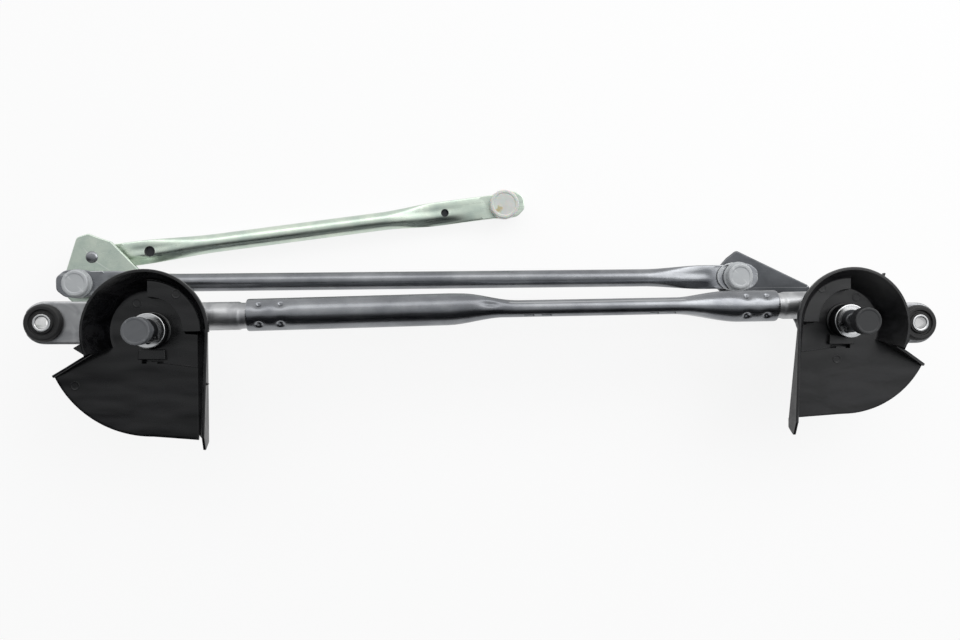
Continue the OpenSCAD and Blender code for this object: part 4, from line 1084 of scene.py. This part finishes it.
def notch_wall(s):
    """Low wall on the notch's long edge, high at the rim and low at the fan's tip."""
    rim, rings = s["rim"], []
    heights = ((rim - 9, 20.0), (rim - 3, 27.0), (rim + 8, 24.0), (rim + 20, 20.0), (s["fan"] - 0.6, 17.0))
    for at, high in heights:
        section = [(-1, FLOOR_LOW), (-1, high - 0.5), (-0.7, high - 0.1), (0.7, high - 0.1), (1, high - 0.5),
                   (1, FLOOR_LOW)]
        rings.append([(at, 1 - s["notch"] + y, z) for y, z in section])
    return moved(skinned(rings), turn=math.degrees(NOTCH_EDGE))


def rim_end_lip(s):
    """Small pointed lip that turns outward where the round wall ends."""
    last, rim = s["notch_turn"], s["rim"]
    corners = [(rim - 1.2, last - 12, 0), (rim + s["lip"], last - 9, 0.5), (rim - 0.4, last - 0.6, 0.5),
               (rim - 2, last - 0.6, 0)]
    outline = [round_point(*s["rim_at"], radius, angle) + (soft,) for radius, angle, soft in corners]
    return slab(rounded(outline), RIM_TOP - 4.5, RIM_TOP - 0.3, 0.4)


def fan_crease(s):
    """Low ridge across the floor, from the snap tab's slot to the straight wall."""
    shift, foot = s["tab"]
    high_y, low_y = -foot - 3.0, -foot - 6.0
    upper, lean, _ = wall_line(s, low_y)
    far = upper - lean - 1.5
    outline = [(shift + 8, high_y), (far, low_y), (far, low_y + 0.8), (shift + 8, high_y + 0.8)]
    return slab(outline, FLOOR_TOP - 0.8, FLOOR_TOP + 0.35, 0.25)


def ejector_mark(x, y, z):
    """Faint round mark that a mould's ejector pin leaves."""
    low, floor, ring = z - 1, z + 0.1, z + 0.25
    profile = rounded([(0, low, 0), (3.4, low, 0), (3.4, ring, 0.2), (2.6, ring, 0.2), (2.3, floor, 0.1),
                       (0, floor, 0)], 3)
    return moved(turned(profile, 40), (x, y, 0))


def snap_tab(s):
    """Snap tab that stands on the floor beside its slot."""
    shift, foot = s["tab"]
    half, narrow, depth = 10, 9.4, 7.5
    corners = [(shift - half, -foot, 0.6), (shift + half, -foot, 0.6),
               (shift + narrow, depth - foot, 0.8), (shift - narrow, depth - foot, 0.8)]
    return slab(rounded(corners), FLOOR_TOP - 0.6, 16.2, 0.5)


def tab_slot(s):
    """Slot through the floor at the snap tab's foot, with a deeper bite near each end."""
    shift, foot = s["tab"]
    shallow, deep = -foot - 1.8, -foot - 3
    steps = [(-8, -foot), (-8, deep), (-4.4, deep), (-4.4, shallow), (3.2, shallow), (3.2, deep), (8, deep),
             (8, -foot)]
    return slab([(shift + x, y) for x, y in steps], FLOOR_LOW - 2, FLOOR_TOP + 2, 0.05)


def slot_pocket(s):
    """Blind pocket under the slot, where the snap tab's hook sits in the dark."""
    shift, foot = s["tab"]
    half, back, front, low = 10.5, 1.5 - foot, -5 - foot, 5.5
    box = [(shift - half, back), (shift + half, back), (shift + half, front), (shift - half, front)]
    room = inset(box[::-1], 1.0)
    return [slab(box, low, FLOOR_LOW + 0.4, 0.4, [room]), slab(box, low, low + 1, 0.4)]


def wall_nub(s):
    """Short stub left by the mould's gate: on the round wall, or on the straight one if it has no angle."""
    length, angle = s["nub"]
    corners = [(0, -1.3, 0), (length, -0.5, 0.2), (length, 0.5, 0.2), (0, 1.3, 0)]
    stub = slab(rounded(corners), RIM_TOP - 4, RIM_TOP - 0.8, 0.3)
    if angle is None:
        along = -38.3
        return moved(stub, (wall_line(s, along)[0] - 1, along, 0))
    return moved(stub, round_point(*s["rim_at"], s["rim"] - 1, angle) + (0,), angle)


def fluted_collar():
    """Collar that grips the bearing tube, fluted on the outside above its foot."""
    grip = BEARING_RADIUS + PLAY
    profile = rounded([(grip, 11.5, 0), (13.8, 11.5, 0), (13.8, 14.2, 0.6), (12.5, 14.8, 0.6),
                       (12.5, 24, 0.4), (grip, 24, 0.3)], 4)
    # number of flutes, their depth, and the heights between which they run
    flutes = (60, 0.4, 14.9, 23.5)
    return turned(profile, 240, flutes)


def rain_shield(s):
    """All shapes of one shield."""
    pan = cut_out(shield_pan(s), tab_slot(s))
    shapes = [pan, notch_wall(s), rim_end_lip(s), fan_crease(s), fluted_collar(), snap_tab(s), wall_nub(s)]
    return shapes + slot_pocket(s) + straight_wall(s)


# places of the ejector marks: x, y and the height of the face
SHIELD_MARKS = {
    "left": [(19.9, 26.5, STEP_TOP), (-11.4, 20.2, FLOOR_TOP), (-55.8, -40.6, FLOOR_TOP)],
    "right": [(4.9, -29.5, FLOOR_TOP), (22.0, 25.0, STEP_TOP), (-10.5, 18.5, FLOOR_TOP)],
}
# the left shield takes the black plastic darkened by painted shade
for side, at, finish in (("left", LEFT_SPINDLE, SHADED_SHIELD), ("right", RIGHT_SPINDLE, SHIELD)):
    shapes = rain_shield(SHIELDS[side]) + [ejector_mark(*place) for place in SHIELD_MARKS[side]]
    if side == "right":
        shapes = [moved(shape, mirror=True) for shape in shapes]
    put(f"{side}_moulded_shield", shapes, "frame", finish,
        at, nodes=[f"{side}_rain_shield"])


# Finishes of the solids that stay as they are

CARRIED = {"upper_bush": BRONZE, "lower_bush": BRONZE, "seal_ring": RUBBER}
for name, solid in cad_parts.items():
    for ending, finish in CARRIED.items():
        if name.endswith(ending):
            solid.data.materials.clear()
            solid.data.materials.append(finish)


# Studio

def backdrop_paper():
    """Matt white paper that takes a soft shadow: seen straight or in metal it is mostly plain white."""
    made, t = blank("white_backdrop_paper")
    path = add(t, "ShaderNodeLightPath")
    seen = add(t, "ShaderNodeMath", {"operation": "MAXIMUM"},
               links={0: (path, "Is Camera Ray"), 1: (path, "Is Glossy Ray")})
    shown = add(t, "ShaderNodeMath", {"operation": "MAXIMUM"},
                links={0: (seen, 0), 1: (path, "Is Transmission Ray")})
    share = add(t, "ShaderNodeMath", {"operation": "MULTIPLY"}, {1: 0.86}, {0: (shown, 0)})
    matt = add(t, "ShaderNodeBsdfDiffuse", values={"Color": linear("#F4F4F4")})
    white = add(t, "ShaderNodeEmission", values={"Color": linear("#FFFFFF"), "Strength": 1.0})
    sheet = add(t, "ShaderNodeMixShader", links={0: (share, 0), 1: (matt, 0), 2: (white, 0)})
    add(t, "ShaderNodeOutputMaterial", links={"Surface": (sheet, 0)})
    return made


def studio_room():
    """White walls all round, under a ceiling that is dark on the near side and white on the far side.

    Rods and tube then show a dark band below their middle and a pale one above it."""
    made = bpy.data.worlds.new("studio_room")
    made.use_nodes = True
    t = made.node_tree
    t.nodes.clear()
    look = add(t, "ShaderNodeTexCoord")
    split = add(t, "ShaderNodeSeparateXYZ", links={0: (look, "Generated")})
    slant = add(t, "ShaderNodeMath", {"operation": "MULTIPLY_ADD"}, {1: 0.35},
                {0: (split, "X"), 2: (split, "Y")})
    near = add(t, "ShaderNodeMapRange", {"interpolation_type": "SMOOTHSTEP"},
               {"From Min": -0.06, "From Max": -0.42}, {"Value": (slant, 0)})
    far = add(t, "ShaderNodeMapRange", {"interpolation_type": "SMOOTHSTEP"},
              {"From Min": 0.02, "From Max": 0.45}, {"Value": (split, "Y")})
    over = add(t, "ShaderNodeMix", COLOUR_MIX, {FIRST: linear("#D6D8DA"), SECOND: linear("#FFFFFF")},
               {SHARE: (far, 0)})
    ceiling = add(t, "ShaderNodeMix", COLOUR_MIX, {SECOND: linear("#1E1F23")},
                  {SHARE: (near, 0), FIRST: (over, MIXED)})
    high = add(t, "ShaderNodeMapRange", {"interpolation_type": "SMOOTHSTEP"},
               {"From Min": 0.03, "From Max": 0.12}, {"Value": (split, "Z")})
    shade = add(t, "ShaderNodeMix", COLOUR_MIX, {FIRST: linear("#FFFFFF")},
                {SHARE: (high, 0), SECOND: (ceiling, MIXED)})
    light = add(t, "ShaderNodeBackground", values={"Strength": 1.0}, links={"Color": (shade, MIXED)})
    add(t, "ShaderNodeOutputWorld", links={"Surface": (light, 0)})
    return made


def softbox(name, at, size, power):
    """Oblong area lamp that faces the middle of the part."""
    lamp = bpy.data.lights.new(name, "AREA")
    lamp.shape = "RECTANGLE"
    lamp.size, lamp.size_y = size
    lamp.energy = power
    made = bpy.data.objects.new(name, lamp)
    bpy.context.scene.collection.objects.link(made)
    made.location = at
    made.rotation_euler = (-Vector(at)).to_track_quat("-Z", "Y").to_euler()


# the floor lies half a millimetre under the part
FLOOR_Z, FLOOR_HALF = cad_box[0].z - 0.5 * MM, 4
floor_mesh = bpy.data.meshes.new("studio_floor")
corners = [(x * FLOOR_HALF, y * FLOOR_HALF, FLOOR_Z) for x, y in ((-1, -1), (1, -1), (1, 1), (-1, 1))]
floor_mesh.from_pydata(corners, [], [(0, 1, 2, 3)])
floor_mesh.materials.append(backdrop_paper())
floor = bpy.data.objects.new("studio_floor", floor_mesh)
bpy.context.scene.collection.objects.link(floor)
bpy.context.scene.world = studio_room()
softbox("strip_softbox", (0.0, 0.85, 0.75), (2.4, 0.5), 4.4)
softbox("key_softbox", (0.7, 0.5, 0.8), (0.8, 0.8), 4.0)

lens = bpy.data.cameras.new("catalogue_camera")
lens.sensor_width = 36.0
lens.lens = 31.69
camera = bpy.data.objects.new("catalogue_camera", lens)
bpy.context.scene.collection.objects.link(camera)
camera.location = (-0.0505, 0.0022, 0.6488)
camera.rotation_euler = (0, math.radians(-3.5), 0)
bpy.context.scene.camera = camera
bpy.context.scene.view_settings.view_transform = "Standard"

bpy.context.view_layer.update()
